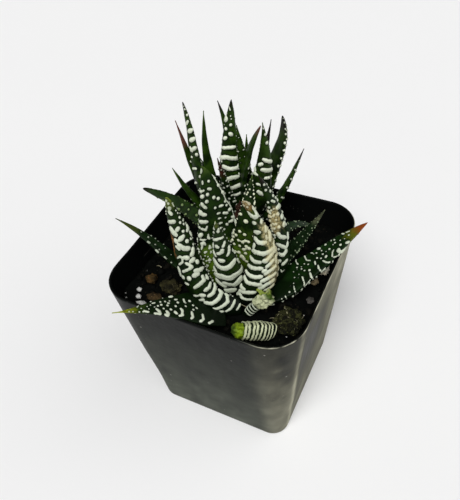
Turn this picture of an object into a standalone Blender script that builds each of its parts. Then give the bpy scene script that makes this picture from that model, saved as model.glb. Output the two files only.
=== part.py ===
"""Zebra haworthia in a square plastic nursery pot.

Metres, +Z up. The origin is the middle of the pot's flat base. The pot's faces look along X and Y.
Two rosettes of keeled leaves grow from short stems that stand in the soil. Each leaf is a loft
along a Bezier midrib: nearly flat inside, a rounded keel outside, with raised cross bands.
"""

import math

import bmesh
import bpy
import numpy as np
from mathutils import Vector, noise
from mathutils.bvhtree import BVHTree

MM = 0.001

# Pot
POT_HEIGHT = 70.0
POT_TOP_SIDE = 70.0
POT_BASE_SIDE = 54.0
POT_TOP_CORNER = 12.3
POT_BASE_CORNER = 6.3
POT_WALL = 0.9
POT_FOOT_CHAMFER = 1.0
CORNER_STEPS = 6
DRAIN_RADIUS = 1.9
DRAIN_OFFSET = 14.0

# Soil
SOIL_HEIGHT = 60.0
SOIL_BUMP = 0.9
SOIL_RINGS = 9
CLEARANCE = 0.3

# Stems, in plain holes in the soil
STEM_RADIUS = 4.0
STEM_FOOT = 50.0
STEM_TOP = 66.5
STEMS = {"front": (3.0, -9.0), "back": (-7.0, 17.0)}

# Leaf section: angles round the leaf in degrees, 0 and 180 on the margins, 90 on the inner face
LEAF_ANGLES = (0, 90, 180, 210, 240, 270, 300, 330)
BAND_PITCH = 4.2
BAND_HEIGHT = 0.35
CHEVRON = 1.3
INNER_BULGE = 0.16

# How far the inner face of a leaf turns up where the leaf lies low, 1 if not given here
UPTURN = {"big_left": 0.2}

DARK_GREEN = (0.035, 0.085, 0.030)
PALE_GREEN = (0.28, 0.36, 0.10)
DRY_BROWN = (0.30, 0.13, 0.05)

# Leaves: name, four Bezier points of the midrib in millimetres, compass angle that the keel faces,
# greatest width, greatest thickness and taper (1 is drawn out, 0.4 is blunt). The first in each
# rosette is the innermost, and each later leaf clasps those before it.
LEAVES = {
    "front": [
        ("inner_left", (-1.5, -11.5, 64), (-1, -8, 78.5), (-0.5, -4.5, 92), (-6, -3, 107), 155, 12.6, 4.4, 0.80),
        ("inner_back", (3, -6.5, 66), (7.5, -5, 79), (8, -4, 92), (9.5, -2, 105), 100, 8.5, 3.2, 0.85),
        ("centre", (5, -13.5, 62.5), (6, -16, 75), (6, -18.5, 88), (6, -20, 101), 290, 9.6, 4.8, 0.85),
        ("fat", (9, -13.5, 62.2), (17.8, -13.5, 65), (17.5, -4.5, 86.5), (10, -9.5, 102), 328, 13.2, 5.6, 1.05),
        ("curled", (10, -6, 62.5), (24, -1, 61), (17, 5.5, 86), (10.5, -1, 105), 0, 8.0, 4.6, 0.75),
        ("dry_strip", (-1, -9.5, 65), (-6, -10, 70), (-12.5, -9.5, 75), (-18, -10.5, 82), 200, 3.6, 1.5, 0.90),
        ("big_left", (9.5, -17, 61.4), (-4, -23.5, 63), (-8, -16, 79), (-14.5, -12.5, 98), 300, 12.2, 6.0, 0.72),
        ("blunt", (-1, -8, 65), (-5.5, 1.5, 76), (-17, 1.5, 83), (-32, -2.5, 89), 165, 6.5, 3.0, 0.60),
        ("far_left", (-1, -10.5, 63), (-13, -16.5, 65.5), (-23, -11.5, 76.5), (-36.5, -14.5, 84), 195, 6.5, 2.8, 0.95),
        ("shaded", (7, -6, 62.5), (15, 2, 62), (21, 10, 71.5), (27, 14, 84), 50, 8.0, 3.0, 0.95),
        ("arched", (4.5, -5, 63), (8, 8, 68), (13, 19, 73), (22, 18.5, 71), 75, 6.5, 2.8, 0.80),
        ("over_right", (11.5, -12, 62), (22.6, -4, 61), (30.5, 7.6, 70), (40, 19, 79), 40, 12.6, 4.6, 0.75),
        ("over_left", (6, -22.5, 61.2), (-5.5, -27.7, 68.5), (-10.5, -35.6, 75), (-19, -44, 76.5), 225, 11.6, 3.0, 0.90),
    ],
    "back": [
        ("heart", (-8, 19, 68), (-1.5, 20.5, 80.5), (-4, 18, 93.5), (-5, 18, 107), 110, 6.0, 2.6, 0.85),
        ("thin_right", (-5, 17.5, 67), (-4.5, 17.5, 82), (-2.5, 17.5, 95.5), (3.5, 18.5, 108), 15, 6.0, 2.6, 0.90),
        ("banded", (-5.5, 14.5, 66), (-8.5, 15, 82), (-8.5, 18.5, 97.5), (-8.5, 22.5, 113), 300, 9.2, 4.0, 0.75),
        ("behind", (-9, 18, 68), (-7.5, 20, 83.5), (-9, 21, 98.5), (-12.5, 20.5, 113), 150, 5.5, 2.6, 0.85),
        ("red_tip", (-8, 14, 66), (-6.5, 12, 78.5), (-7, 9.5, 89.5), (-7, 7, 101), 255, 5.0, 2.6, 0.85),
        ("smooth", (-10, 18.5, 65), (-17, 15, 78), (-18.5, 17, 93), (-18.5, 21, 108), 150, 5.0, 2.4, 0.90),
        ("striped_right", (-3.5, 16, 66), (2.6, 18.5, 79), (5, 20.2, 93), (3, 20.5, 108), 312, 10.4, 4.0, 1.05),
        ("tall_left", (-11, 16, 63.5), (-20.5, 13.5, 77), (-22, 19, 93), (-27, 23, 109), 215, 8.0, 3.6, 0.80),
        ("crescent", (-3.5, 20, 64), (2.5, 26.5, 77), (8, 31.5, 91.5), (5, 31.5, 105), 40, 6.5, 3.4, 0.75),
        ("spike_mid", (-6.5, 20.5, 66), (-5.5, 23.5, 77), (-5.5, 25, 88), (-6, 26.5, 98), 90, 5.0, 2.4, 0.90),
        ("spike_right", (-6, 21.5, 65), (-3.5, 27, 76), (-0.5, 30.5, 89), (1, 32, 102), 80, 4.5, 2.4, 0.95),
        ("brown_tip", (-12, 18, 63), (-21, 15, 74.5), (-24.5, 17.5, 89), (-29.5, 19.5, 103), 170, 5.0, 2.6, 0.95),
        ("short_left", (-11, 15, 63), (-17.5, 11, 70.5), (-23, 10, 80), (-27.5, 10, 90), 205, 5.5, 2.8, 0.90),
        ("dry", (-4.5, 12.5, 65), (-3.5, 11, 71), (-3, 10, 77), (-1.5, 9.5, 83), 300, 4.0, 1.6, 0.70),
        ("low_right", (-2.5, 19, 62.5), (6.5, 22, 70.5), (10, 25.5, 82.5), (13.5, 30.5, 94), 25, 5.5, 2.6, 0.95),
        ("rear_right", (-5, 21, 63.5), (-1, 26, 69), (2, 30, 76), (3, 33, 85), 70, 6.0, 2.8, 0.85),
        ("rear", (-9, 21, 63.5), (-12, 26, 70), (-14, 30, 77), (-15, 33, 86), 115, 6.0, 2.8, 0.85),
        ("rear_left", (-11, 20, 63), (-18, 23, 68), (-23, 26, 74), (-27, 28, 82), 150, 6.0, 2.8, 0.85),
    ],
    "pup": [
        ("torn", (12.5, -19, 61.5), (14.5, -18.5, 64.5), (17, -17.5, 68), (20.5, -16.5, 71.5), 330, 5.8, 4.8, 0.25),
        ("short", (23.2, -22.8, 62.5), (20.5, -25.2, 64), (17, -27.5, 65), (13, -30, 66), 290, 8.4, 5.6, 0.30),
    ],
}

# Loose pieces on the soil: name, place (x, y), size (x, y, z), turn in degrees and colour
CHIPS = [
    ("bark_olive", (-17.0, -18.5), (8.5, 6.0, 4.0), 20, (0.10, 0.09, 0.035)),
    ("bark_brown", (-19.5, -24.5), (7.0, 3.6, 2.8), 15, (0.09, 0.055, 0.025)),
    ("bark_orange", (-25.0, -17.5), (4.4, 3.6, 3.2), 60, (0.20, 0.08, 0.03)),
    ("perlite_large", (-22.5, -28.4), (4.2, 2.6, 2.2), 10, (0.75, 0.75, 0.72)),
    ("perlite_small", (-27.2, -22.6), (1.9, 1.7, 1.5), 0, (0.75, 0.75, 0.72)),
    ("perlite_mid", (-25.6, -25.6), (2.2, 1.6, 1.5), 30, (0.75, 0.75, 0.72)),
    ("stone_cream", (29.0, 8.6), (4.6, 5.2, 4.2), 0, (0.62, 0.58, 0.42)),
    ("stone_tan", (28.0, 2.6), (3.4, 3.0, 2.6), 35, (0.40, 0.28, 0.18)),
    ("stone_grey", (29.4, -5.2), (2.8, 2.6, 2.0), 0, (0.25, 0.25, 0.25)),
    ("moss_clump", (26.9, -17.6), (9.8, 11.0, 4.6), 0, (0.05, 0.045, 0.015)),
]


def fresh_scene():
    for obj in list(bpy.data.objects):
        bpy.data.objects.remove(obj, do_unlink=True)
    for name in ("potted_haworthia", "clearance_cutters"):
        bpy.context.scene.collection.children.link(bpy.data.collections.new(name))


def material(name, colour, roughness):
    found = bpy.data.materials.get(name)
    if found:
        return found
    made = bpy.data.materials.new(name)
    made.use_nodes = True
    shader = made.node_tree.nodes["Principled BSDF"]
    shader.inputs["Base Color"].default_value = (*colour, 1.0)
    shader.inputs["Roughness"].default_value = roughness
    shader.inputs["Metallic"].default_value = 0.0
    return made


def add_object(name, mesh, collection="potted_haworthia", look=None):
    obj = bpy.data.objects.new(name, mesh)
    bpy.data.collections[collection].objects.link(obj)
    if look:
        mesh.materials.append(look)
    if collection == "clearance_cutters":
        obj.hide_render = True
        obj.display_type = "WIRE"
    return obj


def closed_mesh(name, points, faces):
    """A mesh from points in millimetres, with its faces turned outwards."""
    mesh = bpy.data.meshes.new(name)
    mesh.from_pydata([tuple(p) for p in np.asarray(points) * MM], [], faces)
    shape = bmesh.new()
    shape.from_mesh(mesh)
    bmesh.ops.recalc_face_normals(shape, faces=shape.faces)
    shape.to_mesh(mesh)
    shape.free()
    return mesh


def cut(obj, cutter, solver="EXACT"):
    boolean = obj.modifiers.new("clear_of_" + cutter.name, "BOOLEAN")
    boolean.operation = "DIFFERENCE"
    boolean.object = cutter
    boolean.solver = solver


def apply_keeping_largest(obj):
    """Applies the modifiers and drops any loose scrap that a cut left."""
    graph = bpy.context.evaluated_depsgraph_get()
    mesh = bpy.data.meshes.new_from_object(obj.evaluated_get(graph))
    obj.modifiers.clear()
    obj.data = mesh
    shape = bmesh.new()
    shape.from_mesh(mesh)
    waiting, islands = set(shape.verts), []
    while waiting:
        island, edge = set(), [waiting.pop()]
        while edge:
            vert = edge.pop()
            island.add(vert)
            for link in vert.link_edges:
                other = link.other_vert(vert)
                if other in waiting:
                    waiting.discard(other)
                    edge.append(other)
        islands.append(island)
    largest = max(islands, key=len)
    scraps = [v for island in islands if island is not largest for v in island]
    bmesh.ops.delete(shape, geom=scraps, context="VERTS")
    bmesh.ops.remove_doubles(shape, verts=shape.verts, dist=1e-6)
    shape.to_mesh(mesh)
    shape.free()


def tree_of(obj):
    matrix = obj.matrix_world
    return BVHTree.FromPolygons([matrix @ v.co for v in obj.data.vertices], [p.vertices for p in obj.data.polygons])


# Pot and soil


def rounded_square(side, corner, z):
    """Points round a square with rounded corners, in millimetres, counter-clockwise from +X."""
    half, points = side / 2, []
    for quarter in range(4):
        middle = math.radians(45 + 90 * quarter)
        cx = (half - corner) * math.copysign(1, math.cos(middle))
        cy = (half - corner) * math.copysign(1, math.sin(middle))
        for step in range(CORNER_STEPS + 1):
            angle = math.radians(90 * quarter + 90 * step / CORNER_STEPS)
            points.append((cx + corner * math.cos(angle), cy + corner * math.sin(angle), z))
    return points


def pot_section(z, inset=0.0):
    """Side and corner radius of the pot's outer face at a height, moved inwards by inset."""
    t = z / POT_HEIGHT
    side = POT_BASE_SIDE + (POT_TOP_SIDE - POT_BASE_SIDE) * t - 2 * inset
    corner = POT_BASE_CORNER + (POT_TOP_CORNER - POT_BASE_CORNER) * t - inset
    return side, max(corner, 1.0)


def ring_faces(rings, count):
    """Quads between neighbouring rings of count points each."""
    faces = []
    for r in range(rings - 1):
        for i in range(count):
            j = (i + 1) % count
            faces.append((r * count + i, r * count + j, (r + 1) * count + j, (r + 1) * count + i))
    return faces


def make_pot():
    levels = [(0.0, POT_FOOT_CHAMFER), (POT_FOOT_CHAMFER, 0.0), (POT_HEIGHT, 0.0)]
    points = []
    for z, inset in levels:
        points += rounded_square(*pot_section(z, inset), z)
    count = len(points) // len(levels)
    faces = ring_faces(len(levels), count)
    faces.append(tuple(reversed(range(count))))
    mesh = bpy.data.meshes.new("pot")
    mesh.from_pydata([tuple(p) for p in np.array(points) * MM], [], faces)
    pot = add_object("pot", mesh, look=material("pot_plastic", (0.022, 0.024, 0.023), 0.38))
    shell = pot.modifiers.new("wall", "SOLIDIFY")
    shell.thickness = POT_WALL * MM
    shell.offset = -1.0
    shell.use_even_offset = True
    for sx in (-1, 1):
        for sy in (-1, 1):
            bpy.ops.mesh.primitive_cylinder_add(vertices=12, radius=DRAIN_RADIUS * MM, depth=6 * MM,
                                                location=(sx * DRAIN_OFFSET * MM, sy * DRAIN_OFFSET * MM, 0))
            drill = bpy.context.object
            drill.name = f"drain_{'r' if sx > 0 else 'l'}{'b' if sy > 0 else 'f'}"
            for old in drill.users_collection:
                old.objects.unlink(drill)
            bpy.data.collections["clearance_cutters"].objects.link(drill)
            drill.hide_render = True
            drill.display_type = "WIRE"
            cut(pot, drill)
    return pot


def soil_top(x, y):
    """Height of the soil in millimetres: soft lumps, slightly lower toward the walls."""
    lump = noise.noise(Vector((x / 7.0, y / 7.0, 3.7))) + 0.5 * noise.noise(Vector((x / 3.2, y / 3.2, 9.1)))
    edge = max(abs(x), abs(y)) / 33.0
    return SOIL_HEIGHT + SOIL_BUMP * lump - 0.8 * edge ** 4


def make_soil():
    inset = POT_WALL + CLEARANCE
    foot = POT_WALL + CLEARANCE
    points = rounded_square(*pot_section(foot, inset + POT_FOOT_CHAMFER * 0.6), foot)
    points += rounded_square(*pot_section(foot + 2.0, inset + 0.05), foot + 2.0)
    side, corner = pot_section(SOIL_HEIGHT, inset + 0.05)
    rings = 2
    for ring in range(SOIL_RINGS):
        scale = 1.0 - ring / SOIL_RINGS
        for x, y, _ in rounded_square(side, corner, 0):
            points.append((x * scale, y * scale, soil_top(x * scale, y * scale)))
        rings += 1
    count = 4 * (CORNER_STEPS + 1)
    faces = ring_faces(rings, count)
    faces.append(tuple(reversed(range(count))))
    points.append((0, 0, soil_top(0, 0)))
    last = (rings - 1) * count
    faces += [(last + i, last + (i + 1) % count, len(points) - 1) for i in range(count)]
    return add_object("soil", closed_mesh("soil", points, faces), look=material("soil", (0.018, 0.012, 0.008), 0.95))


# Stems and leaves


def stem_mesh(name, x, y, grow):
    """A short stem with a domed top, as rings of points."""
    radius, count, points = STEM_RADIUS + grow, 16, []
    levels = [(STEM_FOOT - grow, 0.92), (SOIL_HEIGHT, 1.0), (STEM_TOP - 2 + grow, 0.9), (STEM_TOP + grow, 0.55)]
    for z, scale in levels:
        for i in range(count):
            angle = math.tau * i / count
            points.append((x + radius * scale * math.cos(angle), y + radius * scale * math.sin(angle), z))
    faces = ring_faces(len(levels), count)
    faces += [tuple(range(count)), tuple(range((len(levels) - 1) * count, len(levels) * count))]
    return closed_mesh(name, points, faces)


def bezier(p0, p1, p2, p3, t):
    t = np.asarray(t)[:, None]
    return (1 - t) ** 3 * p0 + 3 * t * (1 - t) ** 2 * p1 + 3 * t ** 2 * (1 - t) * p2 + t ** 3 * p3


def width_profile(s, taper):
    """Share of the greatest width along the leaf: clasping base, widest at a quarter, then drawn out."""
    rising = 0.80 + 0.20 * math.sin(min(s / 0.26, 1.0) * math.pi / 2)
    u = max(0.0, (s - 0.26) / 0.74)
    return rising * (1 - u) ** taper * (1 + 0.25 * u)


def leaf_mesh(name, leaf, grow=0.0):
    """Lofts a leaf: rings across the midrib, tilted to the chevron of the bands and raised on every other one."""
    title, p0, p1, p2, p3, facing, width, thick, taper = leaf
    midrib = [np.array(p, float) for p in (p0, p1, p2, p3)]
    fine = bezier(*midrib, np.linspace(0, 1, 200))
    steps = np.linalg.norm(np.diff(fine, axis=0), axis=1)
    along = np.concatenate([[0], np.cumsum(steps)])
    length = along[-1]
    bands = max(5, round(0.86 * length / BAND_PITCH))
    s_rings = np.concatenate([[0.0], 0.05 + np.arange(2 * bands) * 0.86 / (2 * bands - 1), [0.965]])
    raised = np.array([0.0] + [k % 2 for k in range(2 * bands)] + [0.0])
    angles = np.radians(LEAF_ANGLES)
    across, outward = np.cos(angles), np.sin(angles)
    outer = outward < -0.01
    facing = math.radians(facing)
    inward = np.array([-math.cos(facing), -math.sin(facing), UPTURN.get(title, 1.0)])
    points = []
    for s, lift in zip(s_rings, raised):
        fade = min(1.0, s / 0.12) * min(1.0, (1 - s) / 0.25)
        tilt = CHEVRON * fade * (np.abs(across) - 0.55)
        for a, o, is_outer, slide in zip(across, outward, outer, tilt):
            here = np.clip(s + slide / length, 0, 0.985)
            t = np.interp(here * length, along, np.linspace(0, 1, 200))
            centre = bezier(*midrib, [t])[0]
            ahead = bezier(*midrib, [min(t + 0.01, 1.0)])[0] - bezier(*midrib, [max(t - 0.01, 0.0)])[0]
            ahead /= np.linalg.norm(ahead)
            up = inward - inward.dot(ahead) * ahead
            up /= np.linalg.norm(up)
            side = np.cross(ahead, up)
            share = width_profile(here, taper)
            half = max(width / 2 * share, 0.40)
            depth = max(thick * (1 - INNER_BULGE) * share ** 0.8, 0.45)
            bulge = max(thick * INNER_BULGE * share, 0.25)
            rise = BAND_HEIGHT * lift * min(1.0, 4 * share) * (1.0 if is_outer else 0.0)
            y = bulge * o if not is_outer else -(depth + rise) * abs(o) ** 0.9
            x = (half + 0.5 * rise) * a
            spread = math.hypot(x, y) or 1.0
            middle = (depth - bulge) / 2
            points.append(centre + side * (x + grow * x / spread) + up * (y + grow * y / spread + middle))
    count, rings = len(angles), len(s_rings)
    faces = ring_faces(rings, count)
    start, end = bezier(*midrib, [0.0])[0], bezier(*midrib, [1.0])[0]
    back = midrib[1] - midrib[0]
    points += [start - back / np.linalg.norm(back) * (0.6 + grow), end]
    low, high, last = len(points) - 2, len(points) - 1, (rings - 1) * count
    faces += [((i + 1) % count, i, low) for i in range(count)]
    faces += [(last + i, last + (i + 1) % count, high) for i in range(count)]
    return closed_mesh(name, points, faces)


def make_plants(soil):
    """Stems, leaves and pups. Each leaf is cut clear of the stems and of the leaves inside it."""
    leaf_look, dry_look = material("leaf", DARK_GREEN, 0.42), material("dry_leaf", DRY_BROWN, 0.85)
    made = []
    for where, (x, y) in STEMS.items():
        stem = add_object(f"stem_{where}", stem_mesh("stem", x, y, 0.0), look=material("stem", PALE_GREEN, 0.6))
        hole = add_object(f"room_for_stem_{where}", stem_mesh("room", x, y, CLEARANCE), "clearance_cutters")
        cut(soil, hole)
        made.append((stem, hole))
    for where, leaves in LEAVES.items():
        for leaf in leaves:
            name = f"pup_{leaf[0]}" if where == "pup" else f"leaf_{where}_{leaf[0]}"
            look = dry_look if leaf[0].startswith("dry") else leaf_look
            obj = add_object(name, leaf_mesh(name, leaf), look=look)
            room = add_object("room_for_" + name, leaf_mesh(name + "_room", leaf, CLEARANCE), "clearance_cutters")
            tree = tree_of(obj)
            for _, other_room in made:
                if tree.overlap(tree_of(other_room)):
                    cut(obj, other_room, "MANIFOLD")
            if tree.overlap(tree_of(soil)):
                cut(soil, room)
            made.append((obj, room))
    for obj, _ in made:
        if obj.modifiers:
            apply_keeping_largest(obj)
    return made


def make_chips(soil):
    """Lumps with a flat underside that rests just above the highest soil beneath it."""
    ground = tree_of(soil)
    for name, (x, y), size, turn, colour in CHIPS:
        lump = bmesh.new()
        bmesh.ops.create_icosphere(lump, subdivisions=2, radius=0.5)
        angle = math.radians(turn)
        for vert in lump.verts:
            swell = 1.0 + 0.22 * noise.noise(vert.co * 3.0 + Vector((x, y, 0)))
            px, py, pz = vert.co.x * size[0] * swell, vert.co.y * size[1] * swell, vert.co.z * size[2] * swell
            vert.co = (x + px * math.cos(angle) - py * math.sin(angle), y + px * math.sin(angle) + py * math.cos(angle), pz)
        under = max(ground.ray_cast(Vector((v.co.x, v.co.y, 90)) * MM, Vector((0, 0, -1)))[0].z for v in lump.verts)
        floor = -0.38 * size[2]
        for vert in lump.verts:
            vert.co.z = max(vert.co.z, floor) - floor + under / MM + CLEARANCE
            vert.co *= MM
        mesh = bpy.data.meshes.new(name)
        bmesh.ops.recalc_face_normals(lump, faces=lump.faces)
        lump.to_mesh(mesh)
        lump.free()
        add_object(name, mesh, look=material(name, colour, 0.9))


def main():
    fresh_scene()
    make_pot()
    soil = make_soil()
    make_chips(soil)
    make_plants(soil)


main()
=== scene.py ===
"""Zebra haworthia in a square nursery pot: the visual model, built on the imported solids.

Each leaf is a smooth loft along its midrib. White raised marks are drawn on it as chains of round
dots: a field holds the distance to the nearest dot, lifts the surface there and whitens it.
Lengths in tables are millimetres, and everything in Blender is metres, +Z up.
"""

import math

import bmesh
import bpy
import numpy as np
from bpy.props import FloatProperty, FloatVectorProperty, IntProperty, PointerProperty
from mathutils import Matrix, Vector, noise


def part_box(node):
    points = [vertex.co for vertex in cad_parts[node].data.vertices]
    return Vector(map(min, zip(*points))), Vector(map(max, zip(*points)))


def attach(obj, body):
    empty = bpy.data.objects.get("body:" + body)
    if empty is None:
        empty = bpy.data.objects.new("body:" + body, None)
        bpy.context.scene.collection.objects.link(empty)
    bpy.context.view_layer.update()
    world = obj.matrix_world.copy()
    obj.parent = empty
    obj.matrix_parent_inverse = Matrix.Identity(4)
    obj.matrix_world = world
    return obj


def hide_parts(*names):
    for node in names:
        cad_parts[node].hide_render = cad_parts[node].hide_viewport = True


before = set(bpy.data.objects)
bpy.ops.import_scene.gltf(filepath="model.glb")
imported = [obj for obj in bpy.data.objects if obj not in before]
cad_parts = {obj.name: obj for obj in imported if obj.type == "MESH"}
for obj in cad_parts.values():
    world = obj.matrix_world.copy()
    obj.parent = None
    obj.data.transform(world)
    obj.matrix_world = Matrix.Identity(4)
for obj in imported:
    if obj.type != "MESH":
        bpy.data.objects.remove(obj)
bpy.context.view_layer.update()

bl_info = {
    "name": "Potted zebra haworthia",
    "version": (1, 0, 0),
    "blender": (4, 5, 0),
    "location": "3D View > Sidebar > Haworthia",
    "description": "Builds a potted zebra haworthia piece by piece",
    "category": "Add Mesh",
}

MM = 0.001
BODY = "root"

# Seeds of the random draws. Each leaf's own is worked out from its rosette and its place in it
DRY_LEAF_SEED, SOIL_SEED, MOSS_SEED, LITTER_SEED = 40, 11, 23, 31

# Leaves: name, four Bezier points of the midrib, compass angle that the keel faces, greatest width,
# greatest thickness and taper, near those of the solids. Many come from a least-squares fit, done in
# another script, to places read by eye.
LEAVES = {
    "front": [
        ("inner_left", (-1.5, -11.5, 64), (-1.7, -7.7, 78.2), (-1.9, -4.5, 91.7), (-6.2, -4, 105.7),
         143, 15.8, 4.4, 0.74),
        ("inner_back", (3, -6.5, 66), (7.5, -5, 79), (8, -4, 92), (9.5, -2, 105), 100, 8.5, 3.2, 0.85),
        ("centre", (5, -13.5, 62.5), (6, -16, 75), (6, -18.5, 88), (6, -20, 101), 290, 9.6, 4.8, 0.85),
        ("fat", (9, -13.5, 62.2), (17.8, -14.1, 64.7), (17.6, -4.6, 86.3), (9.8, -9.8, 101.2),
         303, 12.0, 5.6, 1.17),
        ("curled", (10, -6, 62.5), (23.6, -1.3, 61.2), (16.2, 5.6, 85.3), (11, -1.1, 104.5),
         0, 9.8, 4.6, 0.88),
        ("dry_strip", (-1, -9.5, 65), (-6, -10, 70), (-12.5, -9.5, 75), (-18, -10.5, 82),
         200, 3.6, 1.5, 0.90),
        ("big_left", (9.5, -17, 61.4), (-4.8, -25.8, 61.5), (-7.6, -16, 77.5), (-14.7, -13.1, 98.3),
         288, 9.8, 6.0, 0.60),
        ("blunt", (-1, -8, 65), (-5.5, 1.5, 76), (-17, 1.5, 83), (-32, -2.5, 89), 165, 6.5, 3.0, 0.60),
        ("far_left", (-1, -10.5, 63), (-13, -16.5, 65.5), (-23, -11.5, 76.5), (-36.5, -14.5, 84),
         195, 6.5, 2.8, 0.95),
        ("shaded", (7, -6, 62.5), (15, 2, 62), (21, 10, 71.5), (27, 14, 84), 50, 8.0, 3.0, 0.95),
        ("arched", (4.5, -5, 63), (8, 8, 68), (13, 19, 73), (22, 18.5, 71), 75, 6.5, 2.8, 0.80),
        ("over_right", (11.5, -12, 62), (22.3, -3.9, 61.1), (29.4, 8.5, 69.3), (40.1, 19.2, 78.2),
         40, 13.1, 4.6, 0.83),
        ("over_left", (6, -22.5, 61.2), (-5, -27.6, 68.1), (-8.8, -36.7, 74.7), (-19.9, -43.9, 75.5),
         220, 13.8, 3.0, 1.41),
    ],
    "back": [
        ("heart", (-8, 19, 68), (-1.5, 20.5, 80.5), (-4, 18, 93.5), (-5, 18, 107), 110, 6.0, 2.6, 0.85),
        ("thin_right", (-5, 17.5, 67), (-5.2, 17.2, 82.1), (-2.7, 17.5, 95.4), (3.3, 18.7, 107.9),
         39, 7.1, 2.6, 0.67),
        ("banded", (-5.5, 14.5, 66), (-8.5, 15, 82), (-8.5, 18.5, 97.5), (-8.5, 22.5, 113),
         300, 9.2, 4.0, 0.75),
        ("behind", (-9, 18, 68), (-7.5, 20, 83.5), (-9, 21, 98.5), (-12.5, 20.5, 113), 150, 5.5, 2.6, 0.85),
        ("red_tip", (-8, 14, 66), (-6.5, 12, 78.5), (-7, 9.5, 89.5), (-7, 7, 101), 255, 5.0, 2.6, 0.85),
        ("smooth", (-10, 18.5, 65), (-17, 15, 78), (-18.5, 17, 93), (-18.5, 21, 108), 150, 5.0, 2.4, 0.90),
        ("striped_right", (-3.5, 16, 66), (2.6, 18.5, 79), (5, 20.2, 93), (3, 20.5, 108),
         312, 10.4, 4.0, 1.05),
        ("tall_left", (-11, 16, 63.5), (-22.9, 12.1, 76.8), (-21.4, 18.5, 93.3), (-27.3, 22.5, 108.8),
         250, 9.7, 3.6, 0.66),
        ("crescent", (-3.5, 20, 64), (-0.8, 26.6, 78.5), (8.3, 32.6, 92.8), (5.5, 31, 104.8),
         54, 9.0, 3.4, 0.65),
        ("spike_mid", (-6.5, 20.5, 66), (-5.5, 23.5, 77), (-5.5, 25, 88), (-6, 26.5, 98),
         90, 5.0, 2.4, 0.90),
        ("spike_right", (-6, 21.5, 65), (-3.5, 27, 76), (-0.5, 30.5, 89), (1, 32, 102), 80, 4.5, 2.4, 0.95),
        ("brown_tip", (-12, 18, 63), (-21, 15, 74.5), (-24.5, 17.5, 89), (-29.5, 19.5, 103),
         170, 5.0, 2.6, 0.95),
        ("short_left", (-11, 15, 63), (-17.5, 11, 70.5), (-23, 10, 80), (-27.5, 10, 90),
         205, 5.5, 2.8, 0.90),
        ("dry", (-4.5, 12.5, 65), (-3.5, 11, 71), (-3, 10, 77), (-1.5, 9.5, 83), 300, 4.0, 1.6, 0.70),
        ("low_right", (-2.5, 19, 62.5), (6.5, 22, 70.5), (10, 25.5, 82.5), (13.5, 30.5, 94),
         25, 5.5, 2.6, 0.95),
        ("rear_right", (-5, 21, 63.5), (-1, 26, 69), (2, 30, 76), (3, 33, 85), 70, 6.0, 2.8, 0.85),
        ("rear", (-9, 21, 63.5), (-12, 26, 70), (-14, 30, 77), (-15, 33, 86), 115, 6.0, 2.8, 0.85),
        ("rear_left", (-11, 20, 63), (-18, 23, 68), (-23, 26, 74), (-27, 28, 82), 150, 6.0, 2.8, 0.85),
    ],
    "pup": [
        ("torn", (12.5, -19, 61.5), (14.5, -18.5, 64.5), (17, -17.5, 68), (20.5, -16.5, 71.5),
         330, 5.8, 4.8, 0.25),
        ("short", (23.2, -22.8, 62.5), (20.5, -25.2, 64), (17, -27.5, 65), (13, -30, 66),
         290, 8.4, 5.6, 0.30),
        ("torn_tip", (19.2, -16.6, 69.6), (18.6, -16.8, 71.2), (17.6, -17.0, 72.4), (16.0, -17.2, 73.4),
         60, 2.6, 1.6, 0.8),
    ],
}

# How far the inner face looks up, the share of its width that a narrow foot has, the share that a
# blunt tip keeps, and the share of every leaf's thickness on the inner face
UPTURN = {"big_left": 0.2}
NARROW_FOOT = {"torn": 0.55}
STUB_TIP = {"fat": 0.19, "blunt": 0.27}
INNER_BULGE = 0.16

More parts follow.
